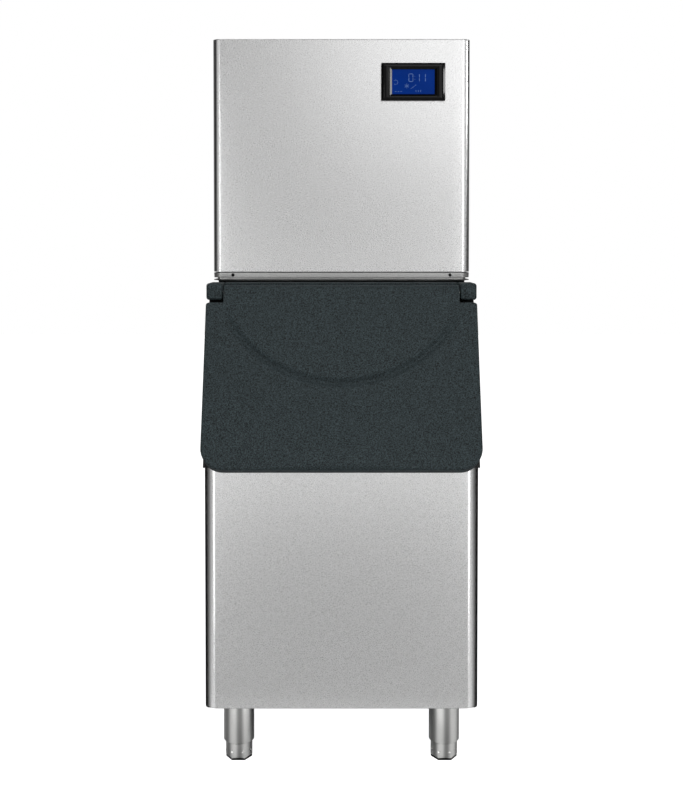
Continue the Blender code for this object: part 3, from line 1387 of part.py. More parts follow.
liquid_x = condenser_left - 2 * PIPE_TURN
liquid_z = CONDENSER_LOW + PIPE_OFF
liquid = route(
    [
        (COIL_X, PIPE_Y, COIL_LOW),
        (COIL_X, liquid_y, COIL_LOW),
        (liquid_x, liquid_y, COIL_LOW),
        (liquid_x, liquid_y, liquid_z),
        (liquid_x, web_y, liquid_z),
        (condenser_left, web_y, liquid_z),
    ],
    PIPE_TURN,
)
# The drier is a wider stretch of the long run beside the compressor
drier_at = len(liquid) - 7
DRIER_BODY = DRIER_HALF - DRIER_NECK
drier_steps = [(-DRIER_HALF, 1), (-DRIER_BODY, DRIER_WIDER), (DRIER_BODY, DRIER_WIDER), (DRIER_HALF, 1)]
drier_points = [Vector((liquid_x, COMPRESSOR_Y + shift, liquid_z)) for shift, _ in drier_steps]
liquid[drier_at + 1 : drier_at + 1] = drier_points
drier_widths = [(drier_at + 1 + index, width) for index, (_, width) in enumerate(drier_steps)]
pipe("liquid_pipe", liquid, PIPE_RADIUS, copper, drier_widths)

# Control box: a cover screwed to the dry side of the wall, open towards it
BOX_LOW = PANEL_HIGH - BOX_DOWN - BOX_HEIGHT
BOX_WIDTH = CONDENSER_SIZE - 2 * BOX_EDGE
box_left = CONDENSER_X - BOX_WIDTH / 2
control = box(
    "control_box",
    (box_left, WALL_REAR + GAP, BOX_LOW),
    (box_left + BOX_WIDTH, WALL_REAR + BOX_DEPTH, BOX_LOW + BOX_HEIGHT),
    plated,
)
box_inside = box(
    "box_inside",
    (box_left + 2 * SHEET, WALL_REAR - GAP, BOX_LOW + 2 * SHEET),
    (
        box_left + BOX_WIDTH - 2 * SHEET,
        WALL_REAR + BOX_DEPTH - 2 * SHEET,
        BOX_LOW + BOX_HEIGHT - 2 * SHEET,
    ),
)
cut(control, box_inside)

# Water inlet valve with its threaded spigot through the rear panel and its fill pipe to the trough
VALVE_REAR = BIN_REAR - SHEET - GAP
valve = box(
    "water_inlet_valve",
    (VALVE_X - VALVE_HALF, VALVE_REAR - VALVE_DEPTH, SERVICE_Z - VALVE_HALF),
    (VALVE_X + VALVE_HALF, VALVE_REAR, SERVICE_Z + VALVE_HALF),
    brass,
)
spigot_length = SPIGOT_REACH + SHEET + GAP + VALVE_HALF
spigot_y = BIN_REAR + SPIGOT_REACH - spigot_length / 2
inlet = rod("inlet", (VALVE_X, spigot_y, SERVICE_Z), SPIGOT_RADIUS, spigot_length, "Y", sides=20)
fill_y = TROUGH_FRONT + TROUGH_DEPTH * 0.6
fill_points = [
    (VALVE_X, VALVE_REAR - VALVE_DEPTH / 2, SERVICE_Z),
    (VALVE_X, VALVE_REAR - FILL_AHEAD, SERVICE_Z),
    (FILL_X, VALVE_REAR - FILL_AHEAD, SERVICE_Z),
    (FILL_X, fill_y, SERVICE_Z),
    (FILL_X, fill_y, TROUGH_LOW + TROUGH_HEIGHT + FILL_OVER),
]
fill = solid_pipe("fill_pipe", route(fill_points, PIPE_TURN), PIPE_RADIUS)
join(valve, inlet, fill)

# Gland for the power cord in the rear panel
turned(
    "power_gland",
    [
        (GLAND_NOSE, GLAND_REACH),
        (GLAND_NUT, GLAND_SHOULDER),
        (GLAND_NUT, GAP),
        (GLAND_NECK, GAP),
        (GLAND_NECK, -SHEET - GAP),
        (GLAND_NUT, -SHEET - GAP),
        (GLAND_NUT, -SHEET - GLAND_INSIDE),
        (GLAND_BORE, -SHEET - GLAND_INSIDE),
        (GLAND_BORE, GLAND_REACH),
    ],
    (GLAND_X, BIN_REAR, SERVICE_Z),
    black,
    TO_REAR,
    ring=True,
    sides=20,
)
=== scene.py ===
"""Looks of a modular ice machine on its insulated ice bin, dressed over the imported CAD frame."""

import json
import math

import bmesh
import bpy
import numpy as np
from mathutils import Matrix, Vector


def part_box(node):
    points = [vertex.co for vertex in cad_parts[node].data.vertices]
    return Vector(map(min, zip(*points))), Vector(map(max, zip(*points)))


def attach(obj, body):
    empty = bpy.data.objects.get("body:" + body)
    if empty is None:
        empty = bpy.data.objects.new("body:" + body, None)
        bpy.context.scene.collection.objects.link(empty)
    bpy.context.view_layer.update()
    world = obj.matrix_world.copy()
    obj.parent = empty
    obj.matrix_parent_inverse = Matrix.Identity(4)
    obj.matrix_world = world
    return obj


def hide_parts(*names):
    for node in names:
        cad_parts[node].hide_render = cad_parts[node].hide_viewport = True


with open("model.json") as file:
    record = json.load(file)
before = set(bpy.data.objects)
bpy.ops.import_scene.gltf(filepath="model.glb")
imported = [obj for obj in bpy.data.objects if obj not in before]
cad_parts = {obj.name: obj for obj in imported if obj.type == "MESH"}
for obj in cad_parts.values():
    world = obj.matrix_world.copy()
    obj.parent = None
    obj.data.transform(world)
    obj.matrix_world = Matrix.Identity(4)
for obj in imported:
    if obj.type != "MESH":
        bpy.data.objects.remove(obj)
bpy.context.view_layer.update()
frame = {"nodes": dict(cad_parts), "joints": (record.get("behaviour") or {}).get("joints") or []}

# Bin wrap: one sheet of brushed stainless steel folded round both front corners of the bin. Its
# front stops under the door, its sides are sheared back along the sloping mouth, and its lower
# edge is folded inwards to a flange. It is riveted to the rear sheet from inside.
SHEET = 0.0012
GAP = 0.0003
BIN_CORNER = 0.022
FOLD, SIDE_FOLD = 0.003, 0.006
FLANGE = 0.016
FRAME_BACK = 0.0333
SLIT = 1e-5
TILT = math.radians(22.5)
PIN = Vector(next(joint["pos_m"] for joint in frame["joints"] if joint["name"] == "door_hinge"))
HEAD_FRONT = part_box("head_front_panel")[0].y
bin_low, bin_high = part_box("bin_shell")


def linear(code):
    """Linear colour of an sRGB hex code: a straight line near black and a power of 2.4 above it."""
    rgb = np.array([int(code[at : at + 2], 16) for at in (1, 3, 5)]) / 255
    return (*np.where(rgb <= 0.04045, rgb / 12.92, ((rgb + 0.055) / 1.055) ** 2.4), 1.0)


def add(look, kind, inputs=None, stops=(), feeds=(), **settings):
    """Adds a shader node of a kind. Inputs take a value or the output that feeds them, stops are
    a colour ramp's places and colours, and feeds are the outputs that go on to other sockets."""
    made = look.node_tree.nodes.new("ShaderNode" + kind)
    for name, value in settings.items():
        setattr(made, name, value)
    for name, value in (inputs or {}).items():
        if isinstance(value, bpy.types.NodeSocket):
            look.node_tree.links.new(value, made.inputs[name])
        else:
            made.inputs[name].default_value = value
    for at in (0, -1) if stops else ():
        made.color_ramp.elements[at].position, made.color_ramp.elements[at].color = stops[at]
    for share, colour in stops[1:-1]:
        made.color_ramp.elements.new(share).color = colour
    for name, socket in feeds:
        look.node_tree.links.new(made.outputs[name], socket)
    return made


def finish(name, code, roughness, metallic=0.0, **constants):
    """A new material with its shader's plain constants. Returns the material, shader and place."""
    look = bpy.data.materials.new(name)
    look.use_nodes = True
    shader = look.node_tree.nodes["Principled BSDF"]
    plain = {"Base_Color": linear(code), "Roughness": roughness, "Metallic": metallic}
    for socket, value in {**plain, **constants}.items():
        shader.inputs[socket.replace("_", " ")].default_value = value
    return look, shader, add(look, "TexCoord").outputs["Object"]


def mottle(look, shader, place, size_mm, low, high, rough=None, bump_mm=0, stretch=(1, 1, 1), detail=3):
    """Grain of a given size: noise that moves the colour between two shades, and, where asked,
    the roughness between two values and the height of the surface by a depth in millimetres."""
    stretched = add(look, "Mapping", {"Vector": place, "Scale": stretch}).outputs[0]
    noise = {"Vector": stretched, "Scale": 1000 / size_mm, "Detail": detail}
    grain = add(look, "TexNoise", noise).outputs["Fac"]
    shades = ((0.32, linear(low)), (0.68, linear(high)))
    add(look, "ValToRGB", {"Fac": grain}, shades, [("Color", shader.inputs["Base Color"])])
    if rough:
        spread = {"Value": grain, "From Min": 0.3, "From Max": 0.7, "To Min": rough[0], "To Max": rough[1]}
        add(look, "MapRange", spread, feeds=[("Result", shader.inputs["Roughness"])])
    if bump_mm:
        relief = {"Height": grain, "Distance": bump_mm / 1000, "Strength": 1.0}
        add(look, "Bump", relief, feeds=[("Normal", shader.inputs["Normal"])])
    return look


# Stainless steel sheet, brushed with a fine belt. Short grain lines soften every reflection and
# leave a slight sparkle. The real grain is about 0.3 mm wide: it is drawn 1.8 mm to show here.
steel, steel_shader, steel_place = finish("stainless_steel_belt_brushed", "#D0D0CF", 0.28, 1.0)
mottle(steel, steel_shader, steel_place, 1.8, "#BABABA", "#DFDFDF", (0.26, 0.31), detail=4)
# Round a folded corner the colour is a painted reflection of the studio: pale near the front and
# dark near the side, as the corners would mirror it. A flat sheet keeps its own tone.
CORNER_PAINTED_REFLECTION = (
    (0.00, "#FFFFFF", 0.0), (0.05, "#FFFFFF", 0.3), (0.09, "#FFFFFF", 1.0), (0.27, "#FFFFFF", 1.0),
    (0.34, "#DEDEDE", 1.0), (0.41, "#BEBEBE", 1.0), (0.50, "#9C9C9C", 1.0), (0.70, "#969696", 1.0),
    (0.93, "#7E7E7E", 1.0), (1.00, "#9C9C9C", 0.0),
)
round_corner = add(steel, "Attribute", attribute_name="bend").outputs["Fac"]
corner_reflection_stops = [(share, (*linear(tone)[:3], weight)) for share, tone, weight in CORNER_PAINTED_REFLECTION]
painted_corner_reflection = add(steel, "ValToRGB", {"Fac": round_corner}, corner_reflection_stops).outputs
painted_reflection_mix = {
    "Fac": painted_corner_reflection["Alpha"],
    "Color1": steel_shader.inputs["Base Color"].links[0].from_socket,
    "Color2": painted_corner_reflection["Color"],
}
# Mixes the painted corner reflection over the steel's grain.
add(steel, "MixRGB", painted_reflection_mix, feeds=[("Color", steel_shader.inputs["Base Color"])])


def surface(name, points, closed=False, keep=None, flip=False):
    """Quads between the neighbours of a grid of points. A closed shape joins its last column to
    the first, merges points that coincide, and is turned right side out by the sign of its
    volume. Keep drops the quads of a cut-out. Open edges are kept crisp."""
    rows, cols = points.shape[:2]
    index = np.arange(rows * cols).reshape(rows, cols)
    if closed:
        index = np.concatenate([index, index[:, :1]], axis=1)
    quads = np.stack([index[:-1, :-1], index[:-1, 1:], index[1:, 1:], index[1:, :-1]], axis=-1)
    quads = quads[keep] if keep is not None else quads.reshape(-1, 4)
    if flip:
        quads = quads[:, ::-1]
    mesh = bpy.data.meshes.new(name)
    mesh.from_pydata(points.reshape(-1, 3).tolist(), [], quads.tolist())
    if closed:
        form = bmesh.new()
        form.from_mesh(mesh)
        bmesh.ops.remove_doubles(form, verts=form.verts, dist=2e-6)
        bmesh.ops.dissolve_degenerate(form, edges=form.edges, dist=1e-7)
        bmesh.ops.recalc_face_normals(form, faces=form.faces)
        if form.calc_volume(signed=True) < 0:
            bmesh.ops.reverse_faces(form, faces=form.faces)
        form.to_mesh(mesh)
        form.free()
    mesh.shade_smooth()
    mesh.set_sharp_from_angle(angle=math.radians(40))
    sides = np.zeros(len(mesh.loops), int)
    mesh.loops.foreach_get("edge_index", sides)
    sharp = mesh.attributes.get("sharp_edge") or mesh.attributes.new("sharp_edge", "BOOLEAN", "EDGE")
    marks = np.zeros(len(mesh.edges), bool)
    sharp.data.foreach_get("value", marks)
    sharp.data.foreach_set("value", marks | (np.bincount(sides, minlength=len(marks)) < 2))
    return mesh


def bring(name, data):
    """A new object at the origin for a mesh, a light or a camera."""
    made = bpy.data.objects.new(name, data)
    bpy.context.scene.collection.objects.link(made)
    return made


def fit(mesh, look, slot, *nodes, body="machine"):
    """Puts a finished mesh on its CAD body with its look, and hides the nodes it stands for. The slot is not
    used.
    """
    piece = bring(mesh.name, mesh)
    mesh.materials.append(look)
    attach(piece, body)
    if nodes:
        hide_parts(*nodes)
    return piece


def thicken(piece, thickness):
    """Gives a sheet its thickness on the side away from its outward face."""
    wall = piece.modifiers.new("thickness", "SOLIDIFY")
    wall.thickness = thickness
    wall.offset = -1


def folded_line(low, high, corner, front_x=(), side_y=(), steps=14):
    """A sheet's line seen from above: along the left side to the front, a quarter circle, along
    the front, and the same mirrored back along the right side, with extra stations where given.
    The second result is the direction inwards at each point."""
    side = np.array(sorted({high.y, low.y + corner, *side_y}, reverse=True))
    across = np.array(sorted({corner - high.x, high.x - corner, *front_x}))
    turn = np.linspace(np.pi, 1.5 * np.pi, steps + 1)[1:-1]
    circle = np.stack([np.cos(turn), np.sin(turn)], -1)
    bend = np.array([corner - high.x, low.y + corner]) + corner * circle
    left = np.concatenate([np.stack([np.full_like(side, -high.x), side], -1), bend])
    left_in = np.concatenate([np.tile([1.0, 0.0], (len(side), 1)), -circle])
    front = np.stack([across, np.full_like(across, low.y)], -1)
    front_in = np.tile([0.0, 1.0], (len(across), 1))
    mirror = np.array([-1.0, 1.0])
    line = np.concatenate([left, front, left[::-1] * mirror])
    return line, np.concatenate([left_in, front_in, left_in[::-1] * mirror])


def with_bend(mesh, inward):
    """Keeps how far each point is round a folded corner: nought at the front, one at the side."""
    share = np.arctan2(np.abs(inward[:, 0]), np.abs(inward[:, 1])) / (np.pi / 2)
    bend = mesh.attributes.new("bend", "FLOAT", "POINT")
    bend.data.foreach_set("value", np.tile(share, len(mesh.vertices) // len(share)))
    return mesh


def slope_y(z, offset):
    """Depth at height z of a plane parallel to the closed door, offset behind the hinge pin."""
    return PIN.y + ((z - PIN.z) * math.sin(TILT) + offset) / math.cos(TILT)


MOUTH_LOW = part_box("throat_frame")[0].z - GAP
MOUTH_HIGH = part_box("hinge_rail")[0].z - GAP
mouth_y = (slope_y(MOUTH_LOW, FRAME_BACK), slope_y(MOUTH_HIGH, FRAME_BACK), HEAD_FRONT + SHEET + GAP)
stations = (*mouth_y, mouth_y[2] - SLIT, *np.linspace(mouth_y[2], bin_high.y, 6)[1:-1])
plan, inward = folded_line(bin_low, bin_high, BIN_CORNER, np.linspace(-0.25, 0.25, 21), stations)
reach = FOLD + (SIDE_FOLD - FOLD) * np.abs(inward[:, 0])
top = np.interp(
    plan[:, 1],
    [mouth_y[0], mouth_y[1], mouth_y[2] - SLIT / 2, mouth_y[2]],
    [MOUTH_LOW, MOUTH_HIGH, MOUTH_HIGH, bin_high.z],
)
rows = [np.column_stack([plan + inward * FLANGE, np.full(len(plan), bin_low.z)])]
for turn in np.linspace(0, np.pi / 2, 6):
    line = plan + inward * (reach * (1 - math.sin(turn)))[:, None]
    rows.append(np.column_stack([line, bin_low.z + reach * (1 - math.cos(turn))]))
for share in np.linspace(0.1, 1, 9):
    rows.append(np.column_stack([plan, bin_low.z + share * (top - bin_low.z)]))
bin_wrap = with_bend(surface("bin_wrap", np.stack(rows)), inward)
thicken(fit(bin_wrap, steel, "brushed_steel", "bin_shell"), SHEET)

# Floor, rear sheet and top deck of the bin: zinc-coated steel, folded and riveted, unpainted
# because they face the ground, the wall and the inside. The floor lies inside the wrap's flange.
PLATE = 0.0016
# Galvanised steel: zinc crystals freeze into flat grey spangles of about 9 mm.
zinc, zinc_shader, zinc_place = finish("galvanised_steel_hot_dipped", "#9DA1A4", 0.42, 1.0)
spangle = add(zinc, "TexVoronoi", {"Vector": zinc_place, "Scale": 1000 / 9.0}).outputs
greys = ((0.0, linear("#8D9195")), (1.0, linear("#A9ADAF")))
to_colour = [("Color", zinc_shader.inputs["Base Color"])]
add(zinc, "ValToRGB", {"Fac": spangle["Color"]}, greys, to_colour)
spread = {"Value": spangle["Distance"], "To Min": 0.36, "To Max": 0.50}
add(zinc, "MapRange", spread, feeds=[("Result", zinc_shader.inputs["Roughness"])])


def dress(look, *names):
    """Gives CAD nodes a look in place of their plain one."""
    for name in names:
        for place in frame["nodes"][name].material_slots:
            place.material = look


def level_grid(xs, ys, z):
    """A level grid of points at height z, one for each pair of stations across and in depth."""
    return np.stack(np.broadcast_arrays(xs[None, :], ys[:, None], z), -1)


plate_x = np.linspace(-1, 1, 3) * (bin_high.x - FLANGE)
plate_y = np.linspace(bin_low.y + FLANGE, bin_high.y - SHEET, 3)
plate = surface("floor_plate", level_grid(plate_x, plate_y, bin_low.z + GAP), flip=True)
thicken(fit(plate, zinc, "galvanised", "bin_floor"), PLATE)
dress(zinc, "bin_rear_panel", "bin_top_deck")

# Liner and foam: the liner is a white ABS tank drawn from one sheet over a mould, and the space
# between it and the steel is filled with poured polyurethane foam.
# ABS sheet, vacuum formed: a soft gloss with the faint leather grain of the mould, about 1.5 mm.
abs_white = mottle(
    *finish("abs_vacuum_formed_white", "#D2D5D6", 0.34), 1.5, "#CDD0D1", "#D6D9DA", (0.28, 0.42), 0.02
)
# Polyurethane foam, poured: matt amber with cells of about 2 mm where it was trimmed.
foam = mottle(*finish("polyurethane_foam_poured", "#D3BC7E", 0.92), 2.0, "#C6AC69", "#DCC892", None, 0.3)
dress(abs_white, "bin_liner")
dress(foam, "bin_foam")

# Drain spout: a short black ABS tube through the rear sheet at the foot of the liner, where the
# melt-water hose is pushed on. It is moulded with two ribs that hold the hose.
SPOUT_BORE = 0.010
SPOUT_GROOVE = 0.0012
# ABS, injection moulded black: satin, with a fine spark-eroded grain of about 0.8 mm.
black_plain = finish("abs_injection_moulded_black", "#0E0F10", 0.46, Specular_IOR_Level=0.3)
black = mottle(*black_plain, 0.8, "#0B0C0D", "#121314", (0.40, 0.54), 0.012)


def middle(name):
    """The middle of a node's box."""
    return [(low + high) / 2 for low, high in zip(*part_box(name))]


def turned(name, profile, centre, axis="Z", around=72, hollow=False):
    """A profile of radius and height turned about an axis through centre: each point runs round
    a circle of its radius. A hollow profile joins its last point to its first."""
    line = np.array([*profile, profile[0]] if hollow else profile, float)
    angle = np.linspace(0, 2 * np.pi, around, endpoint=False)
    ring = line[:, :1] * np.cos(angle), line[:, :1] * np.sin(angle), np.repeat(line[:, 1:], around, 1)
    order = {"Z": (0, 1, 2), "Y": (0, 2, 1)}[axis]
    return surface(name, np.stack([ring[at] for at in order], -1) + np.array(centre), closed=True)


spout_low, spout_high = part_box("bin_drain_spout")
rib = (spout_high.x - spout_low.x) / 2
neck = rib - SPOUT_GROOVE
near, far = spout_low.y, spout_high.y
spout_profile = [
    (SPOUT_BORE, near), (rib, near), (rib, near + 0.050), (neck, near + 0.052), (neck, far - 0.020),
    (rib, far - 0.018), (neck, far - 0.014), (neck, far - 0.009), (rib, far - 0.007),
    (neck, far - 0.002), (rib - 0.002, far), (SPOUT_BORE, far),
]
spout_at = (0, 0, middle("bin_drain_spout")[2])
spout = turned("drain_spout", spout_profile, spout_at, "Y", 64, hollow=True)
fit(spout, black, "black_plastic", "bin_drain_spout")

# Throat frame: the black ABS moulding that is screwed over the sloping mouth, with a collar that
# reaches into the liner. The closed door rests on it.
dress(black, "throat_frame")

# Door: a shell of charcoal polyethylene, tilted when closed. Its top edge is rolled round the
# hinge pin, a round bowl stands proud of the lower face, and a shallow grip is pared off the
# lower edge.
DOOR_HALF = (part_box("door_shell")[1].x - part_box("door_shell")[0].x) / 2
INNER_HALF = 0.2400
DOOR_LENGTH, DOOR_BACK = 0.3831, 0.017
EAR_HALF, EAR_DROP, EAR_EDGE = 0.2494, 0.0273, 0.001
DOOR_CORNER, DOOR_RIM, DOOR_EDGE = 0.045, 0.005, 0.0035
BOWL_RADIUS, BOWL_CENTRE, BOWL_STEP = 0.268, -0.072, 0.003
BOWL_START, BOWL_LOW = 0.034, 0.196
CREASE, CREASE_CLEAR = 0.0068, 0.018
VALLEY, VALLEY_RUN, VALLEY_AT = 0.0055, 0.05, 0.9
GRIP_HALF, GRIP_HEIGHT, GRIP_TILT = 0.183, 0.009, math.radians(40)
FACE_TOP, FACE_END = EAR_DROP + DOOR_RIM, DOOR_LENGTH - DOOR_CORNER
DOOR_PLANE = DOOR_BACK - 0.0005

# Polyethylene, rotationally moulded: matt charcoal that keeps the mould's fine pebbled grain.
# The real pebbles are about 0.5 mm: they are drawn 2.3 mm so that they show in the picture.
charcoal_plain = finish("polyethylene_moulded_charcoal", "#1B2123", 0.66, Specular_IOR_Level=0.16)
charcoal = mottle(*charcoal_plain, 2.3, "#000202", "#3C474A", (0.56, 0.76), 0.6)


def on_door(x, out, down):
    """A point of the closed door from its distance across, in front of the pin and below it."""
    y = PIN.y - out * math.cos(TILT) - down * math.sin(TILT)
    z = PIN.z + out * math.sin(TILT) - down * math.cos(TILT)
    return np.stack(np.broadcast_arrays(x, y, z), -1)


def soft_step(value):
    """Zero below nought, one above one, and an S-shaped blend between."""
    value = np.clip(value, 0, 1)
    return value * value * (3 - 2 * value)


def door_front(x, down):
    """How far the face stands before the pin's plane: the slab, less the fall of the lower face
    outside the bowl's circle and a soft valley along it, less the grip, a slanting plane above a
    long shallow arc."""
    fall = np.clip((down - BOWL_START) / (BOWL_LOW - BOWL_START), 0, 1) * BOWL_STEP
    beyond = (np.hypot(x, down - BOWL_CENTRE) - BOWL_RADIUS) / CREASE
    outside = soft_step(beyond / 2 + 0.5)
    valley = VALLEY * np.exp(-((beyond - VALLEY_AT) ** 2)) * np.clip((down - BOWL_START) / VALLEY_RUN, 0, 1)
    grip_radius = (GRIP_HALF**2 + GRIP_HEIGHT**2) / (2 * GRIP_HEIGHT)
    arc = np.sqrt(grip_radius**2 - np.minimum(np.abs(x), GRIP_HALF) ** 2) - grip_radius + GRIP_HEIGHT
    pared = np.maximum(down - DOOR_LENGTH + arc * math.cos(GRIP_TILT), 0) * math.tan(GRIP_TILT)
    return DOOR_BACK - fall * outside - valley - pared


# Rows down the door: round the pin, the ears, the shoulder, the face on both sides of the crease,
# the lower corners and the rolled lower edge. Each row has its half width, the direction its edge
# faces and how far the roll has turned.
pin_turn = np.linspace(np.pi / 2, 0, 13)
ear_rows = np.linspace(0, EAR_DROP, 4)[1:]
shoulder = np.linspace(0, np.pi / 2, 6)
coarse, fine = np.linspace(0, 1, 13)[1:], np.linspace(0, 1, 19)[1:]
corner_turn = np.linspace(0, np.pi / 2, 17)[1:]
edge_turn = np.linspace(0, np.pi / 2, 6)[1:]
above_face = len(pin_turn) + len(ear_rows) + len(shoulder)
face_rows = len(coarse) + 2 * len(fine)
row_down = np.concatenate([
    -DOOR_BACK * np.sin(pin_turn),
    ear_rows,
    EAR_DROP + DOOR_RIM * (1 - np.cos(shoulder)),
    np.full(face_rows, FACE_END),
    FACE_END + DOOR_CORNER * np.sin(corner_turn),
    np.full(len(edge_turn), DOOR_LENGTH),
])
row_half = np.concatenate([
    np.full(len(pin_turn) + len(ear_rows), EAR_HALF),
    DOOR_HALF - DOOR_RIM * (1 - np.sin(shoulder)),
    np.full(face_rows, DOOR_HALF),
    DOOR_HALF - DOOR_CORNER * (1 - np.cos(corner_turn)),
    np.full(len(edge_turn), DOOR_HALF - DOOR_CORNER),
])
facing = np.concatenate([np.zeros(above_face + face_rows), corner_turn, np.full(len(edge_turn), np.pi / 2)])
rolled = np.concatenate([np.zeros(len(row_down) - len(edge_turn)), edge_turn])
barrel = np.where(row_down < 0, np.sqrt(np.maximum(DOOR_BACK**2 - row_down**2, 0)), DOOR_BACK)
edge = np.full(len(row_down), DOOR_EDGE)
edge[: len(pin_turn)] = np.linspace(0, EAR_EDGE, len(pin_turn))
edge[len(pin_turn) : len(pin_turn) + len(ear_rows)] = EAR_EDGE


def face_down(x):
    """How far down each row of the face is at each x: rows gather on the bowl's arc."""
    arc = np.sqrt(np.maximum(BOWL_RADIUS**2 - x**2, 0)) + BOWL_CENTRE
    arc = np.maximum(arc, FACE_TOP + CREASE_CLEAR)
    above, below = arc - 2 * CREASE, arc + 3 * CREASE
    return np.concatenate([
        FACE_TOP + (above - FACE_TOP) * coarse[:, None],
        above + (below - above) * fine[:, None],
        below + (FACE_END - below) * fine[:, None],
    ])


# Columns across the door: its front, the roll of its side, its back and the other side's roll. The
# closing row brings the lower edge to the back.
face = slice(above_face, above_face + face_rows)
inner_x = np.linspace(-INNER_HALF, INNER_HALF, 97)
outer_share = np.linspace(0, 1, 8)[1:]
column_x = np.pad(inner_x, len(outer_share), "edge")
column_out = np.concatenate([-outer_share[::-1], np.zeros(len(inner_x)), outer_share])
front_x = column_x + column_out * (row_half - edge * np.cos(facing) - INNER_HALF)[:, None]
front_down = np.repeat((row_down - edge * (1 - np.sin(rolled)) * np.sin(facing))[:, None], len(column_x), 1)
front_down[face] = face_down(front_x[above_face])
front_out = np.where((row_down <= 0)[:, None], barrel[:, None], door_front(front_x, front_down))
front_out = front_out - (edge * (1 - np.cos(rolled)))[:, None]
turned_by = np.maximum(np.linspace(0, np.pi / 2, 7)[1:], rolled[:, None])
side_down = row_down.copy()
side_down[face] = face_down(np.array([DOOR_HALF]))[:, 0]
roll_x = row_half[:, None] - (edge * np.cos(facing))[:, None] * (1 - np.sin(turned_by))
roll_down = side_down[:, None] - (edge * np.sin(facing))[:, None] * (1 - np.sin(turned_by))
roll_out = (front_out[:, -1] + edge * (1 - np.cos(rolled)))[:, None] - edge[:, None] * (1 - np.cos(turned_by))
back_x = column_x + column_out * (row_half - INNER_HALF)[:, None]
back_down = np.repeat(row_down[:, None], len(column_x), 1)
back_down[face] = face_down(back_x[above_face])
back_out = np.repeat(-np.where(row_down < 0, barrel, DOOR_PLANE)[:, None], len(column_x), 1)
ring_x = np.concatenate([front_x, roll_x, back_x[:, ::-1], -roll_x[:, ::-1]], 1)
ring_down = np.concatenate([front_down, roll_down, back_down[:, ::-1], roll_down[:, ::-1]], 1)
ring_out = np.concatenate([front_out, roll_out, back_out, roll_out[:, ::-1]], 1)
door_points = on_door(
    np.concatenate([ring_x, ring_x[-1:]]),
    np.concatenate([ring_out, np.full((1, ring_out.shape[1]), -DOOR_PLANE)]),
    np.concatenate([ring_down, ring_down[-1:]]),
)
fit(surface("door_body", door_points, closed=True), charcoal, "charcoal_door", "door_shell", body="door")

# Door liner: a white ABS panel let into the back of the door and heat-staked round its rim, with
# a rounded edge that stands just proud of the shell.
LINER_HALF, LINER_TOP, LINER_END = 0.2775, 0.0317, 0.3697
LINER_CORNER, LINER_TOP_CORNER = 0.040, 0.004
LINER_STEPS = ((0.02, 0.0012), (0, 0.0012), (0, 0), (0.0008, -0.0002))


def rounded_outline(half, near, far, near_radius, far_radius, steps=12):
    """A closed outline from near to far, equally wide to both sides, whose corners are quarter
    circles: each corner's centre, plus its radius times the cosine and sine of the angle."""
    corners = []
    for sign, centre, radius, quarter in (
        (1, far - far_radius, far_radius, 0),
        (-1, far - far_radius, far_radius, 1),
        (-1, near + near_radius, near_radius, 2),
        (1, near + near_radius, near_radius, 3),
    ):
        angle = np.linspace(0, np.pi / 2, steps) + quarter * np.pi / 2
        across = sign * (half - radius) + radius * np.cos(angle)
        corners.append(np.stack([across, centre + radius * np.sin(angle)], -1))
    return np.concatenate(corners)


rings = []
for inset, rise in LINER_STEPS:
    loop = rounded_outline(
        LINER_HALF - inset, LINER_TOP + inset, LINER_END - inset, LINER_TOP_CORNER, LINER_CORNER - inset
    )
    rings.append(on_door(loop[:, 0], rise - DOOR_BACK, loop[:, 1]))
rings.append(on_door(0, rise - DOOR_BACK, loop[:, 1]))
liner = surface("door_liner_panel", np.stack(rings), closed=True)
fit(liner, abs_white, "white_plastic", "door_liner", body="door")

# Door gasket: a black rubber section pressed into the door's back, which closes on the throat
# frame all round the mouth.
# Rubber, extruded: dead matt black with a bloom of talc in specks of about 1.2 mm.
rubber_plain = finish("epdm_rubber_extruded", "#0A0A0A", 0.82, Specular_IOR_Level=0.3)
rubber = mottle(*rubber_plain, 1.2, "#070707", "#0D0D0D", (0.74, 0.90), 0.02)
dress(rubber, "door_gasket")

# Hinge blocks and rail: mouldings of the door's charcoal polyethylene, screwed to the deck at both
# ends of the door's top edge, with a rail between them. They have a lip that stands up before the
# seal, and the blocks keep a shadow gap to the door.
COVER_LIP = 0.0034
SHADOW_GAP = 0.0009
BLOCK_ROUND, RAIL_ROUND = 0.006, 0.0016


def rounded_block(name, low, high, radius, steps=5):
    """A box with rounded edges: the surface of a small sphere, cut into eight and pushed out to
    the corners of the box, its flat sides being the stretched joints between them."""
    centre, half = (Vector(low) + Vector(high)) / 2, (Vector(high) - Vector(low)) / 2
    rise = np.linspace(-np.pi / 2, 0, steps)
    lift = np.concatenate([rise, -rise[::-1]])[:, None]
    lift_sign = np.repeat([-1.0, 1.0], steps)[:, None]
    quarter = np.linspace(0, np.pi / 2, steps)
    turn = np.concatenate([quarter + start for start in np.arange(4) * np.pi / 2])
    sign_x = np.repeat([1.0, -1.0, -1.0, 1.0], steps)
    sign_y = np.repeat([1.0, 1.0, -1.0, -1.0], steps)
    x = sign_x * (half.x - radius) + radius * np.cos(lift) * np.cos(turn)
    y = sign_y * (half.y - radius) + radius * np.cos(lift) * np.sin(turn)
    z = lift_sign * (half.z - radius) + radius * np.sin(lift)
    body = np.stack(np.broadcast_arrays(x, y, z), -1)
    points = np.concatenate([body[:1], body, body[-1:]])
    points[[0, -1], :, 1] = 0
    return surface(name, points + np.array(centre), closed=True)


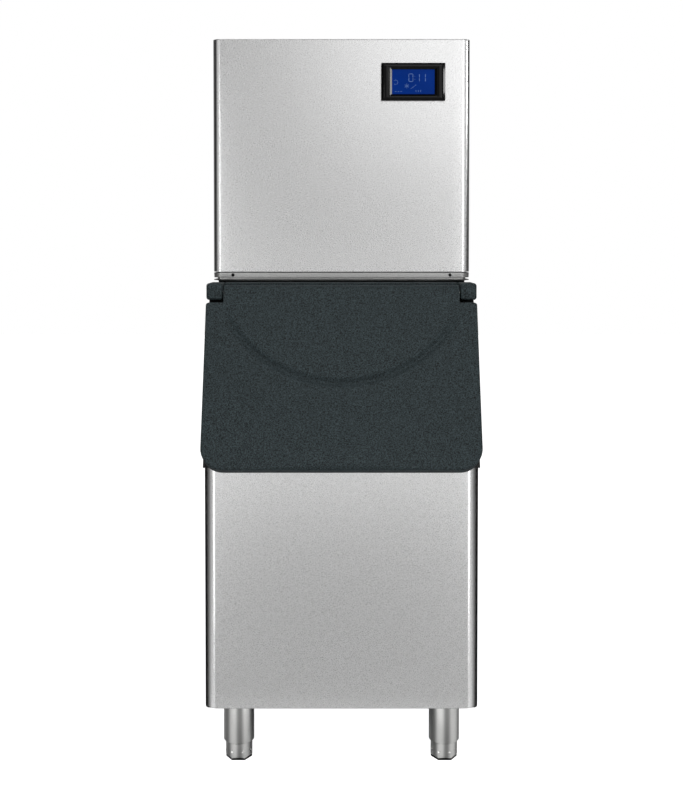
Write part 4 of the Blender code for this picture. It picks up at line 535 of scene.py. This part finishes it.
for hand, side in (("left", -1), ("right", 1)):
    block_low, block_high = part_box(f"hinge_block_{hand}")
    block_high.z += COVER_LIP
    block_low.x += max(side, 0) * SHADOW_GAP
    block_high.x += min(side, 0) * SHADOW_GAP
    block = rounded_block(f"hinge_cover_{hand}", block_low, block_high, BLOCK_ROUND, 7)
    fit(block, charcoal, "black_plastic", f"hinge_block_{hand}")
rail_low, rail_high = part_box("hinge_rail")
rail_high.z += COVER_LIP
rail = rounded_block("rail_cover", rail_low, rail_high, RAIL_ROUND)
fit(rail, charcoal, "black_plastic", "hinge_rail")
# Stainless steel rod, centreless ground: a smooth bright pin, with a faint grain of about 1.5 mm.
ground_plain = finish("stainless_steel_ground", "#C8C8C6", 0.16, 1.0)
ground = mottle(*ground_plain, 1.5, "#C0C0BE", "#CFCFCD", (0.13, 0.22), 0.002)
dress(ground, "hinge_pin_left", "hinge_pin_right")

# Legs and feet: each leg is a stainless tube welded to the bin's floor. A levelling foot screws
# into it, with a ring of holes for a hook spanner, and stands on a thin rubber pad.
LEG_CHAMFER, LEG_WALL, LEG_ROUND = 0.003, 0.0035, 0.0006
STEM, SOCKET = 0.0086, 0.088
FOOT_EDGE, FOOT_FLATS, FOOT_WALL = 0.0025, 0.006, 0.0025
FOOT_TOP, FOOT_PLUG = 0.085, 0.022
HOLES, HOLE_RADIUS, HOLE_DEPTH = 8, 0.0026, 0.0022
HOLE_START, HOLE_HEIGHT, HOLE_BAND = math.radians(-90 + 19.2), 0.019, 0.004
SCREW_FROM, SCREW_TO, SCREW_STEP = 0.0215, 0.1245, 0.00125
SCREW_CREST, SCREW_DEPTH = 0.0078, 0.0007
PAD_ROUND = 0.0008


def spanner_foot(name, centre, radius, low):
    """A foot's cup: a wall whose radius dips in a ring of round holes, a rounded lower edge with
    six flats, a flat underside, and the inside wall down to the plug that carries its screw."""
    angle = np.linspace(0, 2 * np.pi, 288, endpoint=False)
    band_low, band_high = HOLE_HEIGHT - HOLE_BAND, HOLE_HEIGHT + HOLE_BAND
    below = np.linspace(low + FOOT_EDGE, band_low, 5)[:-1]
    above = np.linspace(band_high, FOOT_TOP - 0.001, 6)[1:]
    wall = np.concatenate([below, np.linspace(band_low, band_high, 15), above])
    spoke = (angle - HOLE_START) / (2 * np.pi / HOLES)
    aside = (spoke - np.round(spoke)) * 2 * np.pi / HOLES * radius
    reach = np.hypot(aside[None, :], (wall - HOLE_HEIGHT)[:, None])
    dip = HOLE_DEPTH * (1 - soft_step((reach - HOLE_RADIUS + 0.0007) / 0.0012))
    roll = np.linspace(-np.pi / 2, 0, 6)[:-1]
    outer = np.stack([radius - FOOT_EDGE * (1 - np.cos(roll)), low + FOOT_EDGE * (1 + np.sin(roll))], -1)
    under = np.concatenate([[(0, low)], outer])
    inner = radius - FOOT_WALL
    over = np.array([(radius - 0.001, FOOT_TOP), (inner, FOOT_TOP), (inner, FOOT_PLUG), (0, FOOT_PLUG)])
    ring = np.ones(len(angle))
    radii = np.concatenate([under[:, :1] * ring, radius - dip, over[:, :1] * ring])
    heights = np.concatenate([under[:, 1], wall, over[:, 1]])[:, None]
    flat = math.cos(math.pi / 6) / np.cos(angle % (math.pi / 3) - math.pi / 6)
    radii = radii * (1 - (1 - flat) * (1 - soft_step((heights - low) / FOOT_FLATS)))
    points = np.stack([radii * np.cos(angle), radii * np.sin(angle), heights * ring], -1)
    return surface(name, points + np.array(centre), closed=True)


# Stainless steel tube, drawn and polished lengthwise. Its colour is painted in soft bands along
# the tube: painted stripes of the studio's reflection, pale or dark by how far round the tube they lie.
tube, tube_shader = finish("stainless_steel_tube_polished", "#B4B4B3", 0.20, 1.0)[:2]
LEG_PAINTED_REFLECTIONS = (
    (0.00, "#D2D2D1"), (0.10, "#D2D2D1"), (0.20, "#868685"), (0.28, "#929291"), (0.34, "#FAFAF8"),
    (0.44, "#FAFAF8"), (0.50, "#8A8A89"), (0.58, "#8A8A89"), (0.64, "#FAFAF8"), (0.76, "#FAFAF8"),
    (0.83, "#868685"), (0.92, "#929291"), (1.00, "#D2D2D1"),
)
round_leg = add(tube, "Attribute", attribute_name="turn").outputs["Fac"]
leg_reflection_stops = [(share, linear(tone)) for share, tone in LEG_PAINTED_REFLECTIONS]
to_colour = [("Color", tube_shader.inputs["Base Color"])]
painted_leg_reflection = add(tube, "ValToRGB", {"Fac": round_leg}, leg_reflection_stops, to_colour)
painted_leg_reflection.color_ramp.interpolation = "B_SPLINE"


def with_turn(mesh, spot):
    """Keeps how far each point is round the upright axis through a spot: nought at the left, one
    at the right, by way of the front and again by way of the rear."""
    place = np.zeros(len(mesh.vertices) * 3)
    mesh.vertices.foreach_get("co", place)
    x, y = place[0::3] - spot[0], place[1::3] - spot[1]
    share = np.arccos(np.clip(-x / np.maximum(np.hypot(x, y), 1e-9), -1, 1)) / np.pi
    mesh.attributes.new("turn", "FLOAT", "POINT").data.foreach_set("value", share)
    return mesh


for corner in ("front_left", "front_right", "rear_left", "rear_right"):
    leg_low, leg_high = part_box(f"leg_{corner}")
    foot_low, foot_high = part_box(f"foot_{corner}")
    spot = (*middle(f"leg_{corner}")[:2], 0)
    radius = (leg_high.x - leg_low.x) / 2
    leg_profile = [
        (STEM, leg_high.z), (radius - LEG_ROUND, leg_high.z), (radius, leg_high.z - LEG_ROUND),
        (radius, leg_low.z + LEG_CHAMFER + 0.0008), (radius - 0.0004, leg_low.z + LEG_CHAMFER - 0.0002),
        (radius - LEG_CHAMFER, leg_low.z), (radius - LEG_WALL, leg_low.z), (radius - LEG_WALL, SOCKET),
        (STEM, SOCKET),
    ]
    leg = turned(f"leg_tube_{corner}", leg_profile, spot, around=128, hollow=True)
    fit(with_turn(leg, spot), tube, "brushed_steel", f"leg_{corner}")
    foot_radius = (foot_high.x - foot_low.x) / 2
    # The foot's cup takes the tube's material, with the same painted bands of reflection.
    cup = with_turn(spanner_foot(f"foot_cup_{corner}", spot, foot_radius, foot_low.z), spot)
    fit(cup, tube, "brushed_steel", f"foot_{corner}", body=f"foot_{corner}")
    thread = [(0, SCREW_FROM)]
    thread += [(SCREW_CREST - SCREW_DEPTH * (step % 2), SCREW_FROM + SCREW_STEP * step) for step in range(82)]
    thread += [(SCREW_CREST - 0.0013, SCREW_TO - 0.0005), (0, SCREW_TO)]
    screw = turned(f"foot_screw_{corner}", thread, spot, around=40)
    fit(screw, zinc, "galvanised", body=f"foot_{corner}")
    rim, pad_top = foot_radius - GAP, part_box(f"pad_{corner}")[1].z
    pad_profile = [(0, 0), (rim - PAD_ROUND, 0), (rim, PAD_ROUND), (rim, pad_top), (0, pad_top)]
    pad = turned(f"foot_pad_{corner}", pad_profile, spot, around=6)
    fit(pad, rubber, "black_rubber", f"pad_{corner}", body=f"foot_{corner}")

# Seal between the bin and the head: a black sponge rubber strip stuck round the top of the bin,
# which the head's weight presses flat.
dress(rubber, "head_seal")

# Head base: a welded stainless pan. Outside it shows a thin lip, a dark groove and a plain strip
# with a screw near each end. Its floor has the opening that the ice falls through.
HEAD_CORNER, REAR_CORNER = 0.017, 0.001
BASE_WALL, BASE_FLOOR = 0.011, 0.003
FLOOR_INSET = 0.0085
DROP_HALF, DROP_FRONT, DROP_REAR = 0.185, -0.19035, -0.06835
STRIP_LEAN, LIP_LEAN = 0.0006, 0.0004
base_low, base_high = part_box("head_base")
GROOVE_LOW, GROOVE_HIGH, GROOVE_IN = base_low.z + 0.0022, base_low.z + 0.0060, 0.008


def head_rings(low, high, profile):
    """A profile of inset and height carried round the head's closed line, its front corners wide."""
    rings = []
    for inset, height in profile:
        sides = (high.x - inset, low.y + inset, high.y - inset)
        line = rounded_outline(*sides, HEAD_CORNER - inset, REAR_CORNER)
        rings.append(np.column_stack([line, np.full(len(line), height)]))
    return np.stack(rings)


# Stainless steel sheet, cold rolled and left with the mill's finish: darker and duller than the
# brushed panels, which sets the pan off as a grey line. Its grain is drawn 1.8 mm, as theirs is.
mill_plain = finish("stainless_steel_mill_rolled", "#A6A6A5", 0.34, 1.0)
mill = mottle(*mill_plain, 1.8, "#9C9C9B", "#B0B0AF", (0.31, 0.37))
base_profile = [
    (BASE_WALL, GROOVE_LOW), (BASE_WALL, base_high.z), (0.0005, base_high.z), (0, base_high.z - 0.0005),
    (STRIP_LEAN * 0.1, base_high.z - 0.0013), (STRIP_LEAN * 0.9, GROOVE_HIGH + 0.0012),
    (STRIP_LEAN, GROOVE_HIGH + 0.0004), (STRIP_LEAN + 0.0004, GROOVE_HIGH), (GROOVE_IN, GROOVE_HIGH),
    (GROOVE_IN, GROOVE_LOW), (0.0004, GROOVE_LOW), (0, GROOVE_LOW - 0.0004),
    (LIP_LEAN, base_low.z + 0.0005), (LIP_LEAN + 0.0005, base_low.z), (BASE_WALL, base_low.z),
    (BASE_WALL, GROOVE_LOW),
]
base_band = surface("base_band", head_rings(base_low, base_high, base_profile), closed=True)
fit(base_band, mill, "brushed_steel", "head_base")
floor_x = np.array([base_low.x + FLOOR_INSET, -DROP_HALF, DROP_HALF, base_high.x - FLOOR_INSET])
floor_y = np.array([base_low.y + FLOOR_INSET, DROP_FRONT, DROP_REAR, base_high.y - FLOOR_INSET])
round_drop = np.ones((3, 3), bool)
round_drop[1, 1] = False
base_floor = surface("base_floor", level_grid(floor_x, floor_y, GROOVE_LOW), keep=round_drop)
thicken(fit(base_floor, mill, "brushed_steel"), BASE_FLOOR)
# Screw heads: zinc plating with a black passivation, which gives small dark marks on the strip.
dark_plain = finish("zinc_plating_black_passivated", "#1C1C1D", 0.42, 1.0)
dark_zinc = mottle(*dark_plain, 1.0, "#161617", "#242425", (0.38, 0.46))
RECESS, SHANK, HEAD_SEAT = 0.0012, 0.002, HEAD_FRONT - 0.0002
for hand in ("left", "right"):
    screw_low, screw_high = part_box(f"base_screw_{hand}")
    head_radius = (screw_high.z - screw_low.z) / 2
    cap = [
        (0, screw_low.y + RECESS), (RECESS, screw_low.y + RECESS),
        (RECESS + 0.0001, screw_low.y + 0.0001), (0.0022, screw_low.y + 0.0002),
        (0.0031, screw_low.y + 0.0007), (head_radius, screw_low.y + 0.0015), (head_radius, HEAD_SEAT),
        (SHANK, HEAD_SEAT), (SHANK, screw_high.y), (0, screw_high.y),
    ]
    screw_x, _, screw_z = middle(f"base_screw_{hand}")
    screw_cap = turned(f"base_screw_cap_{hand}", cap, (screw_x, 0, screw_z), "Y", 40)
    fit(screw_cap, dark_zinc, "brushed_steel", f"base_screw_{hand}")

# Head front panel: one sheet of brushed stainless folded round both corners, with a cut-out for
# the display. The side panels butt against its short returns.
CUT_INSET = 0.0042
front_low, front_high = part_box("head_front_panel")
bezel_low, bezel_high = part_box("display_bezel")


def between(stations, low, high):
    """Marks the gaps between neighbouring stations whose middle lies between low and high."""
    mids = (stations[1:] + stations[:-1]) / 2
    return (mids > low) & (mids < high)


cut_x = (bezel_low.x + CUT_INSET, bezel_high.x - CUT_INSET)
cut_z = (bezel_low.z + CUT_INSET, bezel_high.z - CUT_INSET)
line, inward = folded_line(front_low, front_high, HEAD_CORNER, (*np.linspace(-0.24, 0.24, 17), *cut_x))
levels = np.array(sorted({*np.linspace(front_low.z, front_high.z, 17), *cut_z}))
panel_points = np.stack(np.broadcast_arrays(line[None, :, 0], line[None, :, 1], levels[:, None]), -1)
on_front = between(line[:, 1], -math.inf, front_low.y + 1e-6)
opening = (on_front & between(line[:, 0], *cut_x))[None, :] & between(levels, *cut_z)[:, None]
head_wrap = with_bend(surface("head_wrap", panel_points, keep=~opening), inward)
thicken(fit(head_wrap, steel, "brushed_steel", "head_front_panel"), SHEET)

# Side panels: flat stainless sheets hooked on the base and screwed to the rear panel, each with a
# bank of pressed louvres that lets the condenser breathe.
LOUVRES = 8
LOUVRE_LENGTH, LOUVRE_HEIGHT, LOUVRE_PITCH = 0.110, 0.007, 0.022
LOUVRE_FROM_Y, LOUVRE_FROM_Z = 0.23215, base_low.z + 0.0732
LOUVRE_HOOD, LOUVRE_FADE, LOUVRE_RUN = 0.0032, 0.05, 0.0125


def louvred_sheet(name, low, high, side):
    """A flat sheet whose louvres stand out as half-round hoods: the height rises from the upper
    edge of each slot in a quarter sine and ends in a sharp lip over the open slot."""
    bank = LOUVRE_FROM_Y + np.linspace(-0.006, LOUVRE_LENGTH + 0.006, 49)
    ys = np.unique(np.concatenate([np.linspace(low.y, high.y, 20), bank]))
    zs, hood, slots = [low.z], [0.0], []
    rise = np.linspace(0, 1, 7)[1:]
    for row in range(LOUVRES):
        foot = LOUVRE_FROM_Z + LOUVRE_PITCH * row
        slots.append(len(zs) + 1)
        bulge = foot + SLIT + rise * (LOUVRE_HEIGHT + 0.004)
        zs += [foot - 0.001, foot, foot + SLIT, *bulge, foot + LOUVRE_RUN]
        hood += [0.0, 0.0, 1.0, *np.cos(rise * np.pi / 2), 0.0]
    zs, hood = np.array([*zs, high.z]), np.array([*hood, 0.0])
    along = (ys - LOUVRE_FROM_Y) / LOUVRE_LENGTH
    starts, stops = along / (2 * LOUVRE_FADE) + 0.5, (along - 1) / (2 * LOUVRE_FADE) + 0.5
    ends = soft_step(starts) * (1 - soft_step(stops))
    out = side * LOUVRE_HOOD * hood[:, None] * ends[None, :]
    face_x = high.x if side > 0 else low.x
    points = np.stack(np.broadcast_arrays(face_x + out, ys[None, :], zs[:, None]), -1)
    slot = np.zeros((len(zs) - 1, len(ys) - 1), bool)
    slot[slots] = between(along, -LOUVRE_FADE, 1 + LOUVRE_FADE)
    return surface(name, points, keep=~slot, flip=side < 0)


for hand, side in (("left", -1), ("right", 1)):
    side_low, side_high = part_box(f"head_{hand}_panel")
    sheet = louvred_sheet(f"louvred_panel_{hand}", side_low, side_high, side)
    thicken(fit(sheet, steel, "brushed_steel", f"head_{hand}_panel"), SHEET)

# Lid: a brushed stainless sheet with a rolled edge and a flange folded down inside the panels,
# which keeps it in place.
LID_SHEET, LID_ROLL, LID_CENTRE = 0.0015, 0.0002, 0.004
LID_SEAT, LID_FLANGE, LID_FLANGE_IN = 0.0007, 0.0016, 0.0027
lid_low, lid_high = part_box("head_lid")
lid_under = lid_high.z - LID_SHEET
lid_profile = [
    (LID_CENTRE, lid_high.z), (LID_SEAT, lid_high.z), (LID_ROLL, lid_high.z - 0.0003),
    (0, lid_high.z - LID_SHEET / 2), (LID_ROLL, lid_under + 0.0002), (LID_SEAT, lid_under),
    (LID_FLANGE, lid_under), (LID_FLANGE, lid_low.z), (LID_FLANGE_IN, lid_low.z),
    (LID_FLANGE_IN, lid_under), (LID_CENTRE, lid_under),
]
# The flat top and underside are the first and last ring, drawn in to a line down the middle.
lid_points = head_rings(lid_low, lid_high, lid_profile)
lid_points[[0, -1], :, 0] = 0
fit(surface("lid_cover", lid_points, closed=True), steel, "brushed_steel", "head_lid")

# Rear panel: galvanised sheet with a slotted grille over the condenser and holes for the water
# inlet and the cord gland, screwed to the base and the side panels.
dress(zinc, "head_rear_panel")

# Display bezel: a black ABS frame clipped into the cut-out. Its outer edge falls away in a
# chamfer, and its inner edge slopes down to the glass.
BEZEL_CHAMFER, BEZEL_FALL, BEZEL_EDGE = 0.005, 0.0041, 0.0004
CLIP_INSET, CLIP_DEPTH, GLASS_LAP = 0.0045, 0.012, 0.0068
screen_low, screen_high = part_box("display_glass")
bezel_x, _, bezel_z = middle("display_bezel")
window = np.array([0.0463, 0.02675])
outer = np.array([bezel_high.x - bezel_low.x, bezel_high.z - bezel_low.z]) / 2
crest, crest_edge = bezel_low.y, bezel_low.y + BEZEL_FALL * 0.08
foot_edge, foot = bezel_low.y + BEZEL_FALL * 0.92, bezel_low.y + BEZEL_FALL
bezel_profile = [
    (window, 0.0006, foot),
    (window + BEZEL_EDGE, 0.0007, foot_edge),
    (window + BEZEL_CHAMFER - BEZEL_EDGE, 0.0012, crest_edge),
    (window + BEZEL_CHAMFER, 0.0014, crest),
    (outer - BEZEL_CHAMFER, 0.0014, crest),
    (outer - BEZEL_CHAMFER + BEZEL_EDGE, 0.0015, crest_edge),
    (outer - BEZEL_EDGE, 0.0018, foot_edge),
    (outer, 0.0020, foot),
    (outer, 0.0020, HEAD_FRONT - GAP),
    (outer - CLIP_INSET, 0.0010, HEAD_FRONT - GAP),
    (outer - CLIP_INSET, 0.0010, HEAD_FRONT + CLIP_DEPTH),
    (window + GLASS_LAP, 0.0008, HEAD_FRONT + CLIP_DEPTH),
    (window + GLASS_LAP, 0.0008, screen_low.y - GAP),
    (window, 0.0006, screen_low.y - GAP),
]
# Each step is a rounded rectangle of its half sizes, corner radius and depth, joined to the next.
rings = []
for (half_x, half_z), radius, depth in [*bezel_profile, bezel_profile[0]]:
    loop = rounded_outline(half_x, bezel_z - half_z, bezel_z + half_z, radius, radius, 6)
    rings.append(np.stack([bezel_x + loop[:, 0], np.full(len(loop), depth), loop[:, 1]], -1))
# ABS, polished mould: near-black with a gloss that catches the soft boxes along its chamfers, and
# a faint waviness of about 6 mm.
gloss_plain = finish("abs_polished_black", "#030304", 0.08, Specular_IOR_Level=0.16)
gloss_black = mottle(*gloss_plain, 6.0, "#020203", "#050506", (0.07, 0.10))
bezel = surface("bezel_frame", np.stack(rings), closed=True)
fit(bezel, gloss_black, "black_plastic", "display_bezel")

# Display: a backlit blue liquid crystal panel behind glass, held by the bezel. Its pale segments
# show a plain number, a ring and a crystal of small bars, a level bar and a row of dashes.
GLASS_ROUND = 0.0006
DIGIT_WIDE, DIGIT_HIGH, DIGIT_FOOT, STROKE = 0.0088, 0.0165, 0.0005, 0.0014
RING_X, RING_Z, RING_RADIUS = -0.0385, -0.0010, 0.0048
CRYSTAL_X, CRYSTAL_Z = -0.0140, -0.0090
INK = 0.0001
# Liquid crystal glass: deep even blue with a slow fall-off of the backlight across some 40 mm.
lcd, lcd_shader, lcd_place = finish(
    "lcd_glass_backlit_blue", "#02184E", 0.35, Specular_IOR_Level=0.03, Emission_Strength=1.1
)
glow = add(lcd, "TexNoise", {"Vector": lcd_place, "Scale": 1000 / 40.0, "Detail": 1.0})
blues = ((0.0, linear("#01184C")), (1.0, linear("#021F5C")))
lit_sockets = [("Color", lcd_shader.inputs[name]) for name in ("Base Color", "Emission Color")]
add(lcd, "ValToRGB", {"Fac": glow.outputs["Fac"]}, blues, lit_sockets)
glass = rounded_block("display_panel", screen_low, screen_high, GLASS_ROUND, 3)
fit(glass, lcd, "blue_display", "display_glass")
# Lit segments: pale blue-white, softly uneven over some 3 mm where the crystal is driven.
lit_plain = finish(
    "lcd_segments_lit", "#3E62A0", 0.40, Emission_Strength=0.05, Emission_Color=linear("#5C80C0")
)
lit = mottle(*lit_plain, 3.0, "#34568F", "#4A6DAA")
# Where a digit's bars stand: their share of its width and height, and their angle.
SEGMENTS = {
    "a": (0.5, 1.0, 0), "b": (1.0, 0.75, 90), "c": (1.0, 0.25, 90),
    "d": (0.5, 0.0, 0), "e": (0.0, 0.25, 90), "f": (0.0, 0.75, 90),
}


def lit_shapes(name, bars):
    """Flat bars with pointed ends, just before the glass, each from its centre, length, width and
    angle: six corners about the centre, turned by the angle."""
    centre_x, centre_z, length, width, angle = np.array(bars).T[:, :, None]
    end, half, angle = length / 2, width / 2, np.radians(angle)
    along = np.concatenate([-end, half - end, end - half, end, end - half, half - end], 1)
    across = half * np.array([0, 1, 1, 0, -1, -1])
    x = bezel_x + centre_x + along * np.cos(angle) - across * np.sin(angle)
    z = bezel_z + centre_z + along * np.sin(angle) + across * np.cos(angle)
    corners = np.stack([x, np.full_like(x, screen_low.y - 2 * INK), z], -1).reshape(-1, 3)
    mesh = bpy.data.meshes.new(name)
    mesh.from_pydata(corners.tolist(), [], np.arange(len(corners)).reshape(-1, 6).tolist())
    return mesh


bars = []
for digit_x, figure in ((-0.0095, "abcdef"), (0.0045, "bc"), (0.0175, "bc")):
    for share_x, share_z, angle in (SEGMENTS[name] for name in figure):
        length = (DIGIT_HIGH / 2 if angle else DIGIT_WIDE) - 0.0008
        bar_x, bar_z = digit_x + share_x * DIGIT_WIDE, DIGIT_FOOT + share_z * DIGIT_HIGH
        bars.append((bar_x, bar_z, length, STROKE, angle))
bars += [(0.0035, DIGIT_FOOT + DIGIT_HIGH * share, 0.0016, STROKE, 0) for share in (0.3, 0.7)]
for angle in range(-120, 150, 40):
    spoke_x = RING_X + RING_RADIUS * math.cos(math.radians(angle))
    spoke_z = RING_Z + RING_RADIUS * math.sin(math.radians(angle))
    bars.append((spoke_x, spoke_z, 0.0030, 0.0010, angle + 90))
bars += [(CRYSTAL_X, CRYSTAL_Z, 0.0110, 0.0010, angle) for angle in (30, 90, 150)]
bars += [(-0.0040 + 0.0030 * step, -0.0140 + 0.0022 * step, 0.0034, 0.0010, 35) for step in range(4)]
bars += [(-0.0380 + 0.0060 * step, -0.0210, 0.0040, 0.0010, 0) for step in range(3)]
bars += [(0.0060 + 0.0050 * step, -0.0200, 0.0044, 0.0012, 90) for step in range(3)]
thicken(fit(lit_shapes("display_segments", bars), lit, "blue_display"), INK)

# Wall, evaporator, coil and curtain: the wet side of the head. The evaporator is a nickel-plated
# copper grid brazed to its coil, and the clear curtain hangs before it.
# Nickel plate over copper: warm bright grey, hazed by hard water in patches of about 12 mm.
nickel_plain = finish("nickel_electroplate", "#BDB8AE", 0.28, 1.0)
nickel = mottle(*nickel_plain, 12.0, "#ADA89E", "#C8C4BC", (0.22, 0.40))
# Copper tube, drawn: orange-brown, darkened by handling and heat in patches of about 18 mm.
copper_plain = finish("copper_tube_drawn", "#B87452", 0.30, 1.0)
copper = mottle(*copper_plain, 18.0, "#9A5B3E", "#C98461", (0.24, 0.42))
# Polycarbonate sheet: clear, with a faint cool tint and hairline wipe marks of about 5 mm.
clear_plain = finish("polycarbonate_sheet_clear", "#E4EDF0", 0.10, Transmission_Weight=0.85, IOR=1.585)
clear = mottle(*clear_plain, 5.0, "#DEE9ED", "#EAF1F3", (0.07, 0.16), stretch=(0.2, 1, 1))
dress(zinc, "compartment_wall", "control_box", "condenser_coil")
dress(nickel, "evaporator_plate")
dress(copper, "evaporator_coil", "suction_pipe", "discharge_pipe", "liquid_pipe")
dress(clear, "ice_curtain")

# Water circuit and fan's frame: white ABS trough, spray bar and float, the pump and its rubber
# hose, and the shroud and motor of the fan, all screwed to the wall and the base.
dress(abs_white, "spray_bar", "water_trough", "float", "float_stem")
dress(black, "water_pump", "fan_shroud", "fan_motor")
dress(rubber, "pump_hose")

# Compressor: a pressed and welded steel pot, dipped in black enamel, that stands on the base.
# Baked enamel: deep black gloss with a slight orange peel of about 4 mm.
enamel_plain = finish("enamel_baked_black", "#121313", 0.24)
enamel = mottle(*enamel_plain, 4.0, "#0F1010", "#161717", (0.20, 0.30), 0.03)
dress(enamel, "compressor")

# Fan: pressed aluminium blades riveted to a hub on the motor's shaft.
# Aluminium sheet, pressed: pale grey with a soft rolled grain of about 2 mm.
aluminium_plain = finish("aluminium_sheet_pressed", "#B9BBBC", 0.36, 1.0)
aluminium = mottle(*aluminium_plain, 2.0, "#AFB1B2", "#C3C5C6", (0.30, 0.44), stretch=(1, 1, 6))
dress(aluminium, "fan_rotor")

# Water inlet valve: a forged brass body whose threaded spigot comes out of the rear panel.
INLET_X, INLET_Z = -0.180, 1.420
THREAD_CREST, THREAD_ROOT, THREAD_PITCH, THREAD_BORE = 0.0131, 0.01255, 0.0018, 0.0088
THREAD_END = 0.0008
# Brass, forged and turned: yellow metal, dulled by handling in patches of about 8 mm.
brass = mottle(*finish("brass_forged", "#B4975A", 0.30, 1.0), 8.0, "#A1854C", "#C2A668", (0.24, 0.42))
dress(brass, "water_inlet_valve")
rear_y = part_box("head_rear_panel")[1].y
near, far = rear_y + 0.0004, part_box("water_inlet_valve")[1].y + 0.0002
thread_profile = [(THREAD_BORE, near), (THREAD_ROOT, near)]
for step in range(int((far - near - 0.004) / THREAD_PITCH * 2)):
    thread_profile.append((THREAD_ROOT if step % 2 else THREAD_CREST, near + 0.002 + step * THREAD_PITCH / 2))
thread_profile += [(THREAD_ROOT, far - THREAD_END), (THREAD_ROOT - THREAD_END, far), (THREAD_BORE, far)]
spigot = turned("water_inlet_thread", thread_profile, (INLET_X, 0, INLET_Z), "Y", 64, hollow=True)
fit(spigot, brass, "brass")

# Cord gland: a black ABS nut and dome screwed together through the rear panel, empty because no
# cord is shown.
GLAND_BORE, GLAND_NUT, GLAND_NECK, NUT_END = 0.006, 0.0155, 0.0105, rear_y - 0.0015
gland_low, gland_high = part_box("power_gland")
gland_profile = [
    (GLAND_BORE, gland_low.y), (GLAND_NUT, gland_low.y), (GLAND_NUT, NUT_END), (GLAND_NECK, NUT_END),
    (GLAND_NECK, rear_y + GAP), (GLAND_NUT, rear_y + GAP), (GLAND_NUT, rear_y + 0.0075),
    (0.0150, rear_y + 0.0083), (0.0138, rear_y + 0.0125), (0.0128, rear_y + 0.0180),
    (0.0112, gland_high.y - 0.0010), (0.0095, gland_high.y), (0.0068, gland_high.y),
    (GLAND_BORE, gland_high.y - 0.001),
]
gland_x, _, gland_z = middle("power_gland")
gland = turned("gland_nut", gland_profile, (gland_x, 0, gland_z), "Y", 64, hollow=True)
fit(gland, black, "black_plastic", "power_gland")

# Floor: a plain pale studio floor just under the pads, which the camera sees as white.
# Matt paint, rolled: pale grey with an even mottle of about 60 mm.
paint, paint_shader, paint_place = finish(
    "studio_floor_paint_white", "#F2F2F2", 0.75, Emission_Color=linear("#FFFFFF")
)
mottle(paint, paint_shader, paint_place, 60.0, "#DADADA", "#DEDEDE")
add(paint, "LightPath", feeds=[("Is Camera Ray", paint_shader.inputs["Emission Strength"])])
floor_mesh = surface("floor", level_grid(np.linspace(-9, 9, 3), np.linspace(-6, 12, 3), -0.0002))
floor_mesh.materials.append(paint)
bring("floor", floor_mesh)


# Light: soft boxes before, above and beside the machine and low before it, and two narrow strips
# near its front corners that draw a bright line down each fold. The camera doesn't see them.
def soft_box(name, place, aim, width, height, power):
    """A rectangular light at a place, turned to face its aim."""
    lamp = bpy.data.lights.new(name, "AREA")
    lamp.shape = "RECTANGLE"
    lamp.size, lamp.size_y = width, height
    lamp.energy = power
    stand = bring(name, lamp)
    stand.location = place
    stand.rotation_euler = (Vector(aim) - Vector(place)).to_track_quat("-Z", "Y").to_euler()
    stand.visible_camera = False


soft_box("soft_box_right", (0.90, -3.5, 2.35), (0, -0.2, 1.3), 2.0, 1.7, 12.4)
soft_box("soft_box_side", (2.6, -0.60, 1.755), (0.15, -0.21, 1.44), 0.45, 0.34, 9)
soft_box("strip_left", (-0.64, -1.44, 0.8), (-0.27, -0.43, 0.8), 0.08, 1.56, 2.2)
soft_box("strip_right", (0.66, -1.44, 0.8), (0.27, -0.43, 0.8), 0.08, 1.56, 2.1)
soft_box("soft_box_top", (0, -2.3, 3.8), (0, -1.5, 0), 2.4, 2.4, 54)
soft_box("soft_box_floor", (0, -0.58, 0.15), (0, -0.5799, 0), 0.9, 0.08, 0.34)
soft_box("soft_box_low", (0.2, -4.4, 0.30), (0.1, -0.4, 0.6), 3.0, 0.45, 8.0)

# Room round the machine: its light falls from pale before the machine to dark beside it and is
# pale again behind it, so that the steel shows soft gradients. The camera sees a white backdrop.
ROOM = (
    (0.00, 0.53), (0.16, 0.52), (0.27, 0.30), (0.36, 0.10),
    (0.50, 0.03), (0.68, 0.04), (0.82, 0.50), (1.00, 0.56),
)
studio = bpy.data.worlds.new("studio")
studio.use_nodes = True
backdrop = studio.node_tree.nodes["Background"]
backdrop.inputs["Color"].default_value = linear("#FFFFFF")
around = add(studio, "TexCoord").outputs["Generated"]
split = add(studio, "SeparateXYZ", {"Vector": around}).outputs["Y"]
depth_share = add(studio, "MapRange", {"Value": split, "From Min": -1.0}).outputs["Result"]
room_stops = [(share, (shade, shade, shade, 1)) for share, shade in ROOM]
room = add(studio, "ValToRGB", {"Fac": depth_share}, room_stops).outputs["Color"]
seen = add(studio, "LightPath").outputs["Is Camera Ray"]
to_strength = [("Result", backdrop.inputs["Strength"])]
add(studio, "MapRange", {"Value": seen, "To Min": room}, feeds=to_strength)
bpy.context.scene.world = studio
bpy.context.scene.view_settings.view_transform = "Standard"

# Camera: square to the machine's front at chest height, tipped a little down, with the focal
# length in pixels that the photograph's perspective gives.
FOCAL_PIXELS, IMAGE_HEIGHT, SENSOR = 1253.43, 800, 36
lens = bpy.data.cameras.new("camera")
camera = bring("camera", lens)
lens.sensor_fit = "VERTICAL"
lens.sensor_height = SENSOR
lens.lens = FOCAL_PIXELS * SENSOR / IMAGE_HEIGHT
lens.shift_y = -0.14
camera.location = (0, -2.948, 1.0844)
camera.rotation_euler = (math.pi / 2 - math.radians(1.99), 0, 0)
bpy.context.scene.camera = camera
